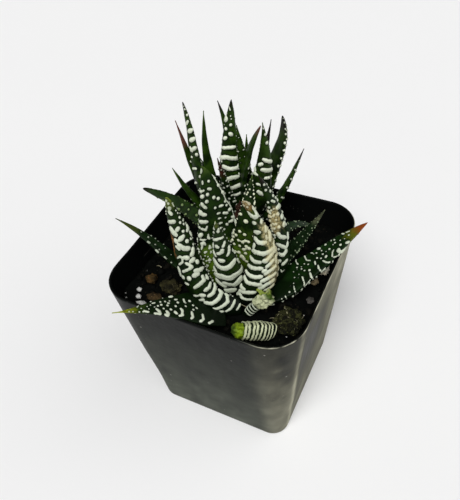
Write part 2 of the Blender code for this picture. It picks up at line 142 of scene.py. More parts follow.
# Marks on the leaves that face the viewer. Their places in the picture were read by eye, and another
# script turned those into these numbers: thickness in tenths of a millimetre, then the points of a line
# as along, in hundredths, and turn, in twentieths. Along is 0 at the base and 1 at the tip. Turn is 0
# on the keel, 1 and -1 on the margins, and 2 or -2 down the middle of the inner face. Each leaf starts
# with the turns between which no rule adds more, or, where the first is the larger, beyond which.
DRAWN = {
    "over_left": ((0.95, -0.5), [
        (5, 86, -33), (5, 83, -32), (5, 78, -30), (5, 75, -31), (8, 73, -32, 71, -31),
        (8, 64, -37, 62, -32, 62, -27, 66, -27), (9, 56, -33, 55, -30, 56, -26, 58, -26),
        (10, 49, -33, 48, -31), (8, 42, -36, 43, -32, 43, -30, 46, -28), (8, 34, -35, 34, -30, 36, -27),
        (8, 24, -34, 24, -30, 28, -26), (8, 14, -29, 19, -25), (6, 58, -37), (8, 52, -36), (7, 54, 39),
        (7, 53, 36, 52, 36), (7, 47, 40), (8, 44, 36), (6, 46, 32, 44, 32), (7, 38, 33, 38, 36), (7, 38, 40),
        (4, 37, 37), (9, 33, 35), (7, 31, 39), (5, 29, -39, 28, -38), (7, 32, -37), (8, 43, -37),
        (8, 50, 25, 47, 25), (6, 55, 33), (6, 59, 32), (6, 62, 38), (4, 65, 39), (6, 66, 31, 64, 31),
        (7, 59, 37), (4, 76, 38), (4, 70, -38), (4, 74, -35), (3, 85, 23), (4, 79, 29), (4, 78, 22),
        (5, 51, 33), (4, 68, 34), (4, 71, 36),
    ]),
    "over_right": ((0.85, -0.95), [
        (6, 84, -30, 86, -32), (6, 81, -25, 82, -31), (6, 74, -31), (5, 72, -28), (8, 67, -29),
        (10, 61, -28, 62, -30), (5, 55, -28, 56, -31), (4, 56, -33), (5, 50, -26, 49, -35, 51, -38),
        (6, 48, -40), (5, 43, -22, 42, -30, 42, -34), (5, 38, -26), (6, 84, 39), (4, 80, 38), (8, 75, 34),
        (5, 77, -39), (6, 73, -37), (4, 71, -38), (7, 67, -40), (5, 62, -35), (4, 64, -40), (6, 61, -40),
        (6, 58, -34), (8, 62, 35, 61, 34), (6, 58, 37), (6, 56, -40), (6, 53, 38, 52, 35), (8, 46, 34),
        (6, 43, 37), (6, 42, -40), (4, 43, -38), (6, 40, -36), (5, 46, -37), (4, 38, 37), (3, 39, -38),
        (5, 34, 37), (3, 36, 35), (4, 36, -38), (5, 31, 33), (3, 28, 33), (6, 25, 27), (5, 21, 24, 21, 18),
        (4, 18, 22), (9, 79, 28, 81, 24), (11, 72, 30, 71, 28, 72, 16, 75, 15),
        (5, 69, 35, 67, 33, 65, 28, 66, 20, 68, 17), (6, 58, 33, 59, 27, 61, 20),
        (6, 53, 32, 52, 28, 52, 17, 56, 18), (7, 45, 31, 44, 26, 44, 18),
        (5, 39, 34, 38, 29, 36, 17, 40, 19, 42, 20), (4, 30, 31, 29, 26, 28, 15, 31, 14),
    ]),
    "centre": ((-0.95, 0.95), [
        (4, 100, -8, 97, 10), (9, 92, 14), (8, 88, 13), (9, 90, -5), (7, 91, -22), (7, 92, -10),
        (9, 80, 12, 83, -1, 83, -12), (14, 74, 5), (8, 78, -11, 74, -5), (8, 75, 15, 70, 14),
        (9, 67, 13, 62, 9), (11, 66, 5, 68, -1, 71, -3), (9, 71, -15, 66, -12, 63, -7),
        (8, 63, -19, 58, -21), (19, 58, 3, 58, 0), (17, 55, 13, 50, 8, 48, 1, 50, -6, 54, -14),
        (15, 40, 17, 40, 12), (20, 35, 12, 37, 4, 35, -3, 38, -9, 36, -21), (8, 52, -18, 46, -19),
        (18, 27, 12, 22, 4), (17, 28, 4, 25, -2), (21, 24, -5, 30, -13), (21, 15, 4, 17, -4),
        (9, 5, 6, 0, 6), (7, 9, 1, 0, 0),
    ]),
    "far_left": ((3, 3), [
        (5, 77, 38), (6, 70, 39), (5, 69, 24), (7, 68, -25, 66, -27), (5, 65, 25), (5, 62, -35), (4, 62, 29),
        (5, 57, 22), (5, 54, 35), (5, 57, -32), (7, 59, -19, 56, -19), (7, 50, -24, 48, -22), (6, 43, -25),
        (5, 47, 39),
    ]),
    "fat": ((-0.7, 1.2), [
        (10, 100, -28), (9, 98, -27), (11, 96, -18), (8, 95, -4), (13, 97, 9),
        (15, 92, -26, 89, -24, 85, -20, 84, -10, 86, 4, 90, 8), (15, 80, 5), (11, 80, -18, 78, -12),
        (12, 74, -16, 71, -11), (15, 72, 10, 72, 0), (13, 69, -17, 63, -11),
        (15, 67, 11, 64, 7, 63, 2, 63, -4), (16, 55, 16, 55, 8, 54, 1, 55, -5, 56, -10),
        (14, 49, 18, 47, 12, 47, 6), (18, 48, 2, 48, 0), (14, 41, 19, 41, 13, 42, 4), (15, 39, 3, 40, 1),
        (14, 35, 21, 34, 15, 34, 9, 35, 4), (14, 30, 21, 27, 15, 28, 10, 28, 4),
        (13, 21, 21, 18, 20, 20, 16), (14, 1, 39, 19, 12, 21, 7), (11, 0, 30, 10, 19, 11, 17),
        (13, 9, 16, 11, 11, 14, 6), (14, 49, -2, 52, -7, 54, -11), (14, 43, 0, 45, -4, 47, -8),
        (15, 37, 1, 39, -3, 41, -9), (15, 31, 4, 33, -1, 35, -9), (16, 24, 5, 28, 0, 30, -7),
        (15, 23, 0, 24, -4, 26, -7), (13, 61, 13, 58, 15), (13, 58, -14, 52, -13), (11, 49, -12, 43, -11),
        (8, 68, -8, 65, -7),
    ]),
    "big_left": ((-0.95, 0.9), [
        (7, 96, -5), (11, 93, -3), (10, 91, 1, 89, -3), (6, 94, 9), (6, 91, 11), (6, 89, 13),
        (13, 84, 8, 84, 2, 84, -3), (14, 80, 7, 77, 4, 75, 0), (13, 78, -3, 79, -6),
        (13, 71, -2, 72, -5, 73, -9), (14, 68, 0, 65, -5, 64, -10), (12, 72, 3, 70, 2), (9, 67, 4, 65, 1),
        (13, 59, -2, 58, -6), (13, 63, -15, 60, -13, 59, -10), (12, 55, -7, 56, -12), (14, 53, -14),
        (7, 59, 6, 60, 2, 59, 0, 56, 1, 54, 7), (20, 51, 11, 48, 13, 46, 12),
        (9, 55, -2, 53, -5, 51, -7, 50, -1, 49, 5), (12, 48, -8, 47, -13, 47, -17), (14, 45, 7), (15, 44, 0),
        (13, 45, -5, 45, -10), (10, 41, 7, 40, 3), (11, 37, -2, 38, -8, 39, -13, 42, -13),
        (10, 41, -17, 38, -17), (11, 32, -9, 32, -14, 34, -17), (11, 27, -9, 26, -14, 28, -19, 30, -20),
        (10, 30, -4, 29, -7), (8, 32, 3, 31, -1), (6, 95, -17, 93, -16), (5, 90, -15), (5, 88, -16),
        (8, 85, -15), (8, 82, -12), (6, 82, -18), (7, 80, -16), (9, 76, -11),
        (13, 75, -17, 76, -21, 78, -21), (8, 69, -17), (12, 69, -11), (12, 73, -21, 71, -20), (7, 65, -17),
        (8, 98, 2), (12, 25, -3, 21, -7, 19, -14, 19, -19, 23, -23),
        (10, 24, 2, 20, -1, 16, -5, 13, -10, 10, -15, 12, -21), (8, 10, -5, 7, -9, 5, -14, 4, -17),
        (7, 3, -7, 1, -11, 0, -13), (10, 19, 1, 15, -1, 12, -4), (9, 31, -3, 30, -6), (9, 28, 0, 27, -4),
    ]),
    "inner_left": ((0.95, -0.8), [
        (8, 98, -26, 96, -21), (6, 90, -29, 88, -29), (9, 83, -17, 83, -30), (12, 79, -27),
        (9, 74, -25, 71, -29, 69, -32), (11, 68, -20, 65, -27, 64, -31), (11, 60, -23, 59, -26, 58, -32),
        (7, 55, -21, 53, -27, 51, -31, 54, -32), (12, 68, -17, 65, -17), (8, 88, 39), (9, 83, -37, 82, -40),
        (10, 79, -35), (11, 74, -33), (10, 75, 39), (10, 73, 35), (8, 67, -40), (9, 67, 36, 67, 33),
        (7, 62, 39, 62, 37), (9, 61, 34, 60, 31), (6, 58, 39, 58, 37), (4, 57, 34, 57, 33),
        (7, 54, 39, 54, 37), (6, 50, 39, 50, 37), (9, 53, 31, 53, 27), (9, 62, 27), (9, 56, 27, 55, 22),
        (7, 52, 34, 51, 33), (7, 48, 36), (7, 88, 20), (9, 82, 27), (9, 76, 26), (7, 69, 29), (7, 66, 29),
        (9, 62, 27), (11, 52, 20, 48, 20), (10, 45, 28), (8, 43, 30),
        (4, 91, 20, 87, 25, 82, 27, 76, 26, 70, 27, 66, 24, 62, 20, 55, 20, 52, 20), (5, 48, 20, 45, 28),
        (5, 41, 31), (5, 37, 33), (14, 48, -26), (7, 43, -29, 44, -26), (7, 45, -33, 43, -34),
        (6, 41, -27, 39, -28), (5, 41, -30, 38, -31), (7, 37, -34, 35, -35), (8, 44, -18, 43, -18),
        (10, 47, -25), (7, 44, -18), (6, 43, -29, 43, -31), (6, 47, -33, 44, -33),
        (6, 35, -28, 41, -29, 39, -31), (8, 35, -34), (8, 32, -31), (7, 29, -27), (7, 26, -30), (6, 36, -23),
        (7, 18, -32), (7, 14, -33), (6, 9, -34), (5, 4, -35), (6, 24, -32), (5, 28, -33), (6, 32, -35),
        (5, 29, -31), (5, 22, -34), (5, 26, -34),
    ]),
    "inner_back": ((1.1, -1.1), [
        (14, 59, 40), (10, 64, -29), (10.5, 47, -34), (10.5, 46, 39), (9.5, 42, -30), (9.5, 38, -35),
        (9.5, 38, -40), (9.5, 40, 37), (9.5, 40, 33), (9.5, 32, -31), (9.5, 33, -38), (10, 35, 35),
        (11, 31, 37), (10.5, 25, -35), (11, 26, -39), (15, 23, 37), (10, 28, 34), (10, 21, 34), (9, 20, 30),
        (10, 35, -25), (8, 39, -26), (11, 34, 31), (5, 85, -35), (5, 83, -33), (5, 88, -39), (5, 85, 20),
        (6, 81, 16), (6, 78, 16), (5, 82, 36),
    ]),
    "curled": ((-0.7, 1.25), [
        (8, 92, 2), (8, 88, 7), (7, 79, 14), (8, 75, 16), (8, 72, 19), (8, 68, 22), (10, 65, 23),
        (8, 61, 23), (8, 59, 23), (8, 54, 19), (6, 52, 19), (9, 85, -5), (9, 81, -4), (9, 78, -8),
        (12, 75, -11), (12, 70, -10), (11, 65, -9), (11, 59, -8), (10, 55, -7), (8, 79, 5, 77, 1),
        (6, 73, 8), (15, 72, 1, 71, -8), (12, 68, 5), (9, 62, 13), (11, 59, 10), (18, 64, -1), (19, 58, 0),
        (8, 59, 17), (7, 69, 11), (7, 65, 11), (12, 55, 14, 52, 12, 49, 4), (11, 50, -2, 47, 1),
        (11, 47, 18, 45, 13, 42, 7), (10, 45, 3, 42, 5), (12, 39, 16, 38, 12, 40, 7), (7, 43, 17),
        (7, 40, 17), (12, 34, 17), (12, 31, 13, 33, 8), (5, 27, 15, 25, 13, 26, 10), (7, 90, -15),
        (5, 90, -10), (5, 88, -7),
    ]),
    "banded": ((-0.95, 0.95), [
        (11, 66, 16, 67, 4, 67, -6), (13, 58, 20, 60, 7, 59, 0, 58, -11),
        (13, 53, 11, 51, 2, 51, -7, 53, -13), (14, 43, 5, 44, 0, 44, -8),
        (13, 36, 6, 36, 0, 37, -5, 37, -11), (10, 30, 3, 30, -3, 31, -9, 32, -14), (11, 73, 13, 74, 9),
        (12, 77, 3, 76, -1), (10, 80, 12), (9, 83, 1), (19, 87, 20, 86, 20), (5, 90, 21), (5, 95, 13, 93, 5),
        (4, 89, 2), (4, 87, 0), (6, 56, 14), (6, 30, 6, 29, 4),
    ]),
    "striped_right": ((-0.95, 0.95), [
        (9, 90, -7), (5, 95, 1), (11, 83, -7), (12, 70, 5, 68, -2, 65, -16), (13, 65, 12, 66, 8),
        (13, 61, 6, 60, -2, 58, -15), (13, 61, 5, 59, -4, 58, -15), (11, 53, 0, 52, -7),
        (9, 48, 10, 47, 5, 46, 1), (12, 41, 6, 38, 1, 37, -6), (9, 57, 19, 56, 12), (10, 61, 21, 59, 18),
        (9, 52, -12),
    ]),
    "tall_left": ((-1.0, 0.6), [
        (7, 91, -15), (10, 87, -12, 85, -4), (14, 80, -7, 81, -17), (14, 74, -9, 75, -17),
        (12, 69, -5, 67, -7, 69, -16), (6, 95, -12), (4, 97, -13), (11, 64, -15), (9, 62, -4), (8, 58, 2),
        (9, 53, 0, 54, -9), (10, 47, 5), (11, 48, -12, 48, -15), (9, 41, 5, 43, -3), (7, 37, -3),
    ]),
    "crescent": ((0.85, -1.0), [
        (6, 95, 25), (6, 90, 20), (7, 86, 19), (9, 79, 20), (9, 73, 18), (8, 66, 20), (9, 59, 24),
        (4, 98, 28),
    ]),
    "smooth": ((-9, 9), []),
    "thin_right": ((0.9, -0.9), []),
}

# How the rule marks a leaf: first and last row, pitch of the rows, radius of the dots in a bar, where
# bars end and single dots begin, radius and spacing of single dots, sag of a row on the keel, the same
# for the inner face, and the teeth on the margins
RULE = {
    "first": 0.10, "last": 0.95, "pitch": 2.6, "bar": 0.72, "bars_until": 0.55, "dot": 0.46, "spread": 1.9,
    "sag": 1.2, "inner_dot": 0.36, "inner_pitch": 2.5, "inner_spread": 2.2, "inner_until": 0.93,
    "tooth": 0.3, "tooth_pitch": 1.7,
}

GREEN_TIP, YELLOW_TIP, ORANGE_TIP = (0.05, 0.09, 0.012), (0.17, 0.22, 0.03), (0.22, 0.05, 0.008)
RED_TIP, BROWN_TIP = (0.065, 0.020, 0.012), (0.12, 0.05, 0.035)
GREY_TIP, DARK_TIP = (0.11, 0.12, 0.065), (0.012, 0.010, 0.007)

# What the thin leaves at the back share, the boldly banded leaves there, and the young shoots
MID_GREEN = (0.022, 0.055, 0.003)
SPARSE = dict(light=MID_GREEN, tooth=0.0)
# Painted light in part: the marks of the boldly banded back leaves are whiter than the usual, so that they
# look as bright as those in front though these leaves sit in shade
BOLD = dict(light=MID_GREEN, mark=(0.80, 0.85, 0.68))
SHOOT = dict(rings=True, inner_until=0.0, tooth=0.0)

# What is particular to a leaf: changes to the rule; the colours of its skin, marks, tip, dried patches
# and young tissue; and where its tip colour starts. Dry and fresh hold patches as along from, along to,
# turn from, turn to and strength. Freckles hold the same four, a count and a radius. Drawn scales the
# drawn marks, rings lets rows run all round, and mottle crumples the fresh patches.
PARTICULAR = {
    "centre": dict(tip=YELLOW_TIP, tip_from=0.97),
    "fat": dict(drawn=0.86, dry=[(0.06, 0.78, -1.6, -0.1, 0.9), (0.93, 1.0, -2, 2, 0.4)],
        dried=(0.60, 0.53, 0.27), fresh=[(0.84, 0.91, -0.8, 0.6, 0.8)], young=(0.07, 0.12, 0.006),
        tip=(0.26, 0.13, 0.03), tip_from=0.94, mottle=0.3, bar=0.5, bars_until=0.8),
    "big_left": dict(tip=YELLOW_TIP, tip_from=0.96,
        dry=[(0.05, 0.34, 0.55, 1.1, 0.3), (0.61, 0.76, 0.42, 1.0, 1.0)], dried=(0.50, 0.20, 0.05),
        bar=0.5),
    "inner_left": dict(bars_until=0.75, bar=0.5, tooth=0.27, tooth_pitch=1.1, tip=GREEN_TIP,
        freckles=[(0.06, 0.46, -1.85, -0.85, 42, 0.34)],
        fresh=[(0.0, 0.38, -2, -1.45, 0.75), (0.0, 0.38, 1.6, 2, 0.75), (0.0, 0.40, -1.45, -0.7, 0.25)]),
    # Painted light in part: the inner back leaf's marks are whiter than the usual, so that they look bright
    # though it sits in the shade of the leaves in front
    "inner_back": dict(mark=(0.88, 0.92, 0.66), freckles=[(0.12, 0.5, 1.3, 2.0, 6, 0.3)],
        fresh=[(0.12, 0.32, 1.0, 2, 0.85), (0.12, 0.32, -2, -1.5, 0.85), (0.3, 0.5, 1.0, 2, 0.2),
               (0.3, 0.5, -2, -1.5, 0.2)]),
    "curled": dict(dry=[(0.57, 0.73, 0.15, 1.2, 0.95)], dried=(0.57, 0.47, 0.22),
        freckles=[(0.57, 0.74, 0.3, 1.2, 12, 0.34)], tip=DARK_TIP, tip_from=0.93),
    "blunt": dict(light=(0.016, 0.042, 0.004), mark=(0.20, 0.27, 0.11), bars_until=0.0, dot=0.4,
        inner_dot=0.4, inner_pitch=2.8, inner_until=0.7, tip=DARK_TIP, tip_from=0.97, tooth=0.2),
    "far_left": dict(light=(0.008, 0.024, 0.005), bars_until=0.2, dot=0.36, mark=(0.42, 0.47, 0.36),
        inner_until=0.6, tip=(0.036, 0.050, 0.008), tip_from=0.80, tooth=0.15),
    "shaded": dict(light=(0.010, 0.026, 0.008), mark=(0.24, 0.30, 0.18), tip=GREY_TIP, tip_from=0.86,
        bars_until=0.3, inner_dot=0.25, dot=0.33),
    "arched": dict(light=(0.010, 0.030, 0.008), mark=(0.24, 0.30, 0.18), bars_until=0.2, inner_dot=0.27,
        dot=0.33),
    "over_right": dict(light=(0.006, 0.027, 0.003), tip=ORANGE_TIP, tip_from=0.92,
        fresh=[(0.82, 0.95, -2, 2, 0.8)], young=(0.13, 0.14, 0.006), bars_until=0.8, bar=0.42, pitch=3.3),
    "over_left": dict(light=(0.004, 0.013, 0.002), tip=(0.27, 0.31, 0.012), tip_from=0.84,
        fresh=[(0.72, 0.9, -2, 2, 0.2)], bars_until=0.8, bar=0.42, pitch=3.3),
    "banded": dict(BOLD, tip=DARK_TIP, tip_from=0.96, bar=0.5),
    "striped_right": dict(BOLD, tip=GREEN_TIP, bar=0.5),
    "behind": dict(SPARSE, bars_until=0.4, tip=DARK_TIP, tip_from=0.93, dot=0.25, last=0.8,
        inner_until=0.5),
    "tall_left": dict(BOLD, bars_until=0.5, bar=0.45, pitch=3.0, tip=DARK_TIP, tip_from=0.96,
        inner_until=0.6, tooth=0.2),
    "brown_tip": dict(SPARSE, tip=BROWN_TIP, tip_from=0.8, bars_until=0.3, last=0.6, inner_until=0.45),
    "smooth": SPARSE,
    "short_left": dict(SPARSE, bars_until=0.3, dot=0.28, last=0.65, inner_until=0.45, tip=GREEN_TIP,
        tip_from=0.9),
    "crescent": dict(BOLD, bars_until=0.9, bar=0.38, inner_until=0.4, tooth=0.0, tip=DARK_TIP,
        tip_from=0.9),
    "spike_mid": dict(SPARSE, bars_until=0.3, dot=0.25, last=0.5, inner_until=0.3),
    "spike_right": dict(SPARSE, bars_until=0.3, dot=0.25, last=0.5, inner_until=0.3, tip=DARK_TIP,
        tip_from=0.8),
    "thin_right": dict(SPARSE, bars_until=0.4, last=0.6, tip=BROWN_TIP, tip_from=0.95),
    "heart": dict(light=MID_GREEN, inner_dot=0.26, tooth=0.2),
    "low_right": dict(SPARSE, bars_until=0.9, bar=0.34, pitch=3.6, tip=DARK_TIP, tip_from=0.9,
        inner_until=0.5),
    "red_tip": dict(tip=RED_TIP, tip_from=0.80, bars_until=0.2),
    "torn": dict(SHOOT, bars_until=0.7, bar=0.14, pitch=1.35, first=0.12, last=0.54, sag=0.5,
        fresh=[(0.56, 1.0, -2, 2, 1.0)], young=(0.58, 0.61, 0.38), dried=(0.26, 0.33, 0.05),
        dry=[(0.58, 1.0, -2, -0.9, 0.9), (0.58, 1, 1.6, 2, 0.9)], mottle=1.0),
    "torn_tip": dict(SHOOT, bars_until=0.0, last=0.0, fresh=[(0.0, 1.0, -2, 2, 1.0)],
        young=(0.30, 0.38, 0.07), tip=YELLOW_TIP, mottle=0.4),
    "short": dict(SHOOT, bars_until=0.9, bar=0.29, pitch=1.12, first=0.05, last=0.76, sag=-0.3,
        mark=(0.66, 0.70, 0.45), fresh=[(0.76, 1.0, -2, 2, 1.0)], young=(0.21, 0.31, 0.012), mottle=0.7),
}


# Settings a user would change


def a_colour(name, description, default):
    return FloatVectorProperty(name=name, description=description, default=default, min=0.0, max=1.0,
                               subtype="COLOR")


def a_length(name, description, default, least=0.0):
    return FloatProperty(name=name, description=description, default=default * MM, min=least * MM,
                         unit="LENGTH")


def a_strength(name, description, default):
    return FloatProperty(name=name, description=description, default=default, min=0.0)


class HaworthiaPotSettings(bpy.types.PropertyGroup):
    wall: a_length("Wall", "Thickness of the pot wall", 0.9, 0.5)
    bow: a_length("Bow", "How far the soft walls bow in and out", 0.35)
    plastic: a_colour("Plastic", "Colour of the clean plastic", (0.0028, 0.0032, 0.003))
    dust: a_colour("Dust", "Colour of the dust film", (0.27, 0.29, 0.24))
    # The side colour is that of the dust on the right wall and of the painted reflection and highlights there
    side_dust_and_highlight: a_colour("Side dust", "Colour of the dust on the right wall", (0.43, 0.42, 0.32))
    dust_amount: FloatProperty(name="Dust amount", description="How strongly the dust film shows",
                               default=0.07, min=0.0, max=1.0, subtype="FACTOR")


class HaworthiaSoilSettings(bpy.types.PropertyGroup):
    crumbs: IntProperty(name="Crumbs", description="Number of loose crumbs on the soil", default=620, min=0)
    crumb: a_length("Crumb size", "Radius of the largest crumbs", 1.5, 0.3)
    earth: a_colour("Earth", "Colour of the damp soil", (0.0012, 0.0015, 0.0012))
    fleck: a_colour("Flecks", "Colour of the dry flecks in it", (0.022, 0.018, 0.012))


class HaworthiaLeafSettings(bpy.types.PropertyGroup):
    ring: a_length("Ring spacing", "Distance between the rings of a leaf's mesh", 0.3, 0.1)
    rise: a_length("Mark height", "How far the white marks stand out", 0.42)
    deep: a_colour("Deep green", "Colour of the skin between the marks", (0.0026, 0.009, 0.0012))
    light: a_colour("Light green", "Lighter green in the skin", (0.010, 0.029, 0.002))
    mark: a_colour("Marks", "Colour of the raised marks", (0.62, 0.67, 0.53))
    dried: a_colour("Dried", "Colour of dried patches", (0.50, 0.38, 0.17))
    fresh: a_colour("Fresh", "Colour of young yellow-green tissue", (0.13, 0.24, 0.015))


class HaworthiaChipSettings(bpy.types.PropertyGroup):
    perlite: a_colour("Perlite", "Colour of the perlite", (0.68, 0.68, 0.64))
    fibre: a_colour("Fibre", "Colour of the loose fibres", (0.50, 0.46, 0.28))


class HaworthiaStageSettings(bpy.types.PropertyGroup):
    floor: a_colour("Floor", "Colour of the floor", (0.90, 0.90, 0.90))
    backdrop: a_colour("Backdrop", "Colour behind the floor", (0.88, 0.88, 0.88))
    key: a_strength("Key light", "Strength of the soft light from the front", 2.65)
    fill: a_strength("Fill light", "Strength of the soft light from the right", 0.85)
    room: a_strength("Room light", "Strength of the even light from all round", 0.09)


# Materials


class Graph:
    """Adds nodes to a tree. An input given as a socket is linked, and any other is a value."""

    def __init__(self, tree):
        self.tree = tree

    def put(self, kind, inputs=None, **settings):
        made = self.tree.nodes.new(kind)
        for key, value in settings.items():
            setattr(made, key, value)
        for key, value in (inputs or {}).items():
            if isinstance(value, bpy.types.NodeSocket):
                self.tree.links.new(value, made.inputs[key])
            else:
                made.inputs[key].default_value = value
        return made

    def math(self, operation, a, b, clamp=False):
        return self.put("ShaderNodeMath", {0: a, 1: b}, operation=operation, use_clamp=clamp).outputs[0]

    def times(self, a, b, clamp=False):
        return self.math("MULTIPLY", a, b, clamp)

    def plus(self, a, b, clamp=False):
        return self.math("ADD", a, b, clamp)

    def step(self, value, low, high):
        """0 below low and 1 above high, smoothly, or the other way round where low is the larger."""
        ends = {0: value, 1: low, 2: high}
        return self.put("ShaderNodeMapRange", ends, interpolation_type="SMOOTHSTEP").outputs[0]

    def between(self, value, low, high):
        """The value, 0 to 1, spread from low to high."""
        return self.put("ShaderNodeMapRange", {0: value, 3: low, 4: high}).outputs[0]

    def noise(self, place, scale, detail=2.0, roughness=0.5):
        values = {"Vector": place, "Scale": scale, "Detail": detail, "Roughness": roughness}
        return self.put("ShaderNodeTexNoise", values).outputs[0]

    def mix(self, factor, a, b):
        return self.put("ShaderNodeMix", {0: factor, 6: a, 7: b}, data_type="RGBA").outputs[2]

    def place(self):
        return self.put("ShaderNodeTexCoord").outputs["Object"]

    def attribute(self, name):
        return self.put("ShaderNodeAttribute", attribute_name=name).outputs["Fac"]


def rgba(colour):
    return (*colour, 1.0)


def new_group(name, inputs, outputs):
    """A shader node group with named sockets, a Graph on it, its inputs and its output node."""
    tree = bpy.data.node_groups.new(name, "ShaderNodeTree")
    for title, kind, value in inputs:
        socket = tree.interface.new_socket(title, in_out="INPUT", socket_type="NodeSocket" + kind)
        if value is not None:
            socket.default_value = value
    for title, kind in outputs:
        tree.interface.new_socket(title, in_out="OUTPUT", socket_type="NodeSocket" + kind)
    graph = Graph(tree)
    return tree, graph, graph.put("NodeGroupInput").outputs, graph.put("NodeGroupOutput").inputs


def leaf_skin_group():
    """Green skin with raised white marks, a coloured tip, and dried and fresh patches."""
    amounts = [("Along", 0.0), ("Mark", 1.0), ("Dry", 0.0), ("Fresh", 0.0), ("Tip From", 0.95)]
    colours = ["Deep", "Light", "Tip Colour", "Mark Colour", "Dry Colour", "Fresh Colour"]
    tree, g, into, out = new_group(
        "leaf skin",
        [("Place", "Vector", None)] + [(title, "Float", value) for title, value in amounts]
        + [(title, "Color", None) for title in colours],
        [("Colour", "Color"), ("Roughness", "Float"), ("Height", "Float")])
    patchy = g.noise(into["Place"], 260.0, 3.0)
    fine = g.noise(into["Place"], 1700.0, 3.0, 0.6)
    # Painted shade: the lighter green fades out toward the foot of the leaf
    painted_base_shade = g.between(g.step(into["Along"], 0.08, 0.5), 0.25, 1.0)
    skin = g.mix(g.times(g.step(patchy, 0.36, 0.68), painted_base_shade), into["Deep"], into["Light"])
    skin = g.mix(g.times(g.step(into["Along"], 0.45, 1.0), 0.6), skin, into["Light"])
    # Painted shade: the skin turns almost black toward the foot of the leaf
    skin = g.mix(g.times(g.step(into["Along"], 0.42, 0.04), 0.8), skin, rgba((0.0008, 0.0025, 0.0008)))
    fresh = g.mix(g.step(fine, 0.3, 0.7), into["Fresh Colour"], into["Light"])
    skin = g.mix(g.times(into["Fresh"], 0.92), skin, g.mix(0.7, fresh, into["Fresh Colour"]))
    nearness = g.plus(into["Along"], g.between(patchy, -0.04, 0.04))
    tip = g.step(g.math("SUBTRACT", nearness, into["Tip From"]), -0.06, 0.03)
    skin = g.mix(tip, skin, into["Tip Colour"])
    # Painted shade in the furrows close round each mark, weaker on fresh tissue
    painted_furrow_shade = g.times(g.step(into["Mark"], 0.75, 0.1), g.math("SUBTRACT", 0.8, g.times(into["Fresh"], 0.4)))
    skin = g.mix(painted_furrow_shade, skin, g.mix(0.8, skin, rgba((0.003, 0.006, 0.003))))
    dry = g.times(into["Dry"], g.between(g.noise(into["Place"], 700.0, 2.0), 0.55, 1.25), clamp=True)
    withered = g.mix(0.72, into["Dry Colour"], into["Deep"])
    withered = g.mix(g.step(fine, 0.35, 0.62), into["Dry Colour"], withered)
    skin = g.mix(g.times(dry, 0.85), skin, withered)
    edge = g.plus(into["Mark"], g.between(fine, 0.06, -0.06))
    mask = g.step(edge, 0.05, -0.04)
    white = g.mix(0.22, into["Mark Colour"], into["Light"])
    white = g.mix(g.step(patchy, 0.3, 0.75), into["Mark Colour"], white)
    white = g.mix(g.times(g.step(fine, 0.45, 0.75), 0.25), white, g.mix(0.4, white, into["Light"]))
    white = g.mix(g.times(dry, 0.6), white, into["Dry Colour"])
    white = g.mix(g.times(tip, 0.35), white, into["Tip Colour"])
    tree.links.new(g.mix(mask, skin, white), out["Colour"])
    rough = g.plus(g.between(patchy, 0.36, 0.54), g.times(dry, 0.3))
    rough = g.plus(rough, g.times(mask, 0.14))
    tree.links.new(rough, out["Roughness"])
    height = g.plus(g.times(mask, 0.5), g.between(fine, 0.0, 0.22))
    tree.links.new(height, out["Height"])
    return tree


def grain_group():
    """Two sizes of grain as a mask and a height, with pale flecks."""
    tree, g, into, out = new_group(
        "grain",
        [("Place", "Vector", None), ("Coarse", "Float", 300.0), ("Fine", "Float", 1800.0),
         ("Flecks", "Float", 0.2)],
        [("Mask", "Float"), ("Fleck", "Float"), ("Height", "Float")])
    coarse = g.noise(into["Place"], into["Coarse"], 3.0)
    fine = g.noise(into["Place"], into["Fine"], 4.0, 0.65)
    cells = g.put("ShaderNodeTexVoronoi", {"Vector": into["Place"], "Scale": into["Fine"]})
    lit = g.put("ShaderNodeSeparateColor", {0: cells.outputs["Color"]}).outputs[0]
    chosen = g.math("GREATER_THAN", lit, g.math("SUBTRACT", 1.0, into["Flecks"]))
    fleck = g.times(chosen, g.step(cells.outputs["Distance"], 0.42, 0.22))
    tree.links.new(g.plus(g.times(coarse, 0.6), g.times(fine, 0.4)), out["Mask"])
    tree.links.new(fleck, out["Fleck"])
    tree.links.new(g.plus(g.times(fine, 0.7), g.times(fleck, 0.5)), out["Height"])
    return tree


def built_group(name, build):
    """The node group of that name, built the first time."""
    return bpy.data.node_groups.get(name) or build()


def new_material(name):
    """A material with only its shader, and a Graph on it."""
    made = bpy.data.materials.new(name)
    made.use_nodes = True
    return made, Graph(made.node_tree), made.node_tree.nodes["Principled BSDF"]


def finish_material(graph, shader, colour, roughness, height, distance, gloss):
    """Links the colour, roughness and bump to the shader, and sets its specular level."""
    link = graph.tree.links.new
    link(colour, shader.inputs["Base Color"])
    link(roughness, shader.inputs["Roughness"])
    bump = graph.put("ShaderNodeBump", {"Height": height, "Distance": distance})
    link(bump.outputs[0], shader.inputs["Normal"])
    shader.inputs["Specular IOR Level"].default_value = gloss


def leaf_material(name, particular):
    skin = bpy.context.scene.haworthia_leaf
    made, g, shader = new_material(name)
    values = {"Place": g.place(), "Tip From": particular.get("tip_from", 0.96), "Deep": rgba(skin.deep)}
    for title in ("Along", "Mark", "Dry", "Fresh"):
        values[title] = g.attribute(title.lower())
    own = {
        "Light": ("light", skin.light), "Tip Colour": ("tip", GREEN_TIP), "Mark Colour": ("mark", skin.mark),
        "Dry Colour": ("dried", skin.dried), "Fresh Colour": ("young", skin.fresh),
    }
    for title, (key, usual) in own.items():
        values[title] = rgba(particular.get(key, usual))
    group = g.put("ShaderNodeGroup", values, node_tree=built_group("leaf skin", leaf_skin_group)).outputs
    finish_material(g, shader, group["Colour"], group["Roughness"], group["Height"], 0.12 * MM, 0.10)
    return made


def grain(graph, place, coarse, fine, flecks):
    values = {"Place": place, "Coarse": coarse, "Fine": fine, "Flecks": flecks}
    return graph.put("ShaderNodeGroup", values, node_tree=built_group("grain", grain_group)).outputs


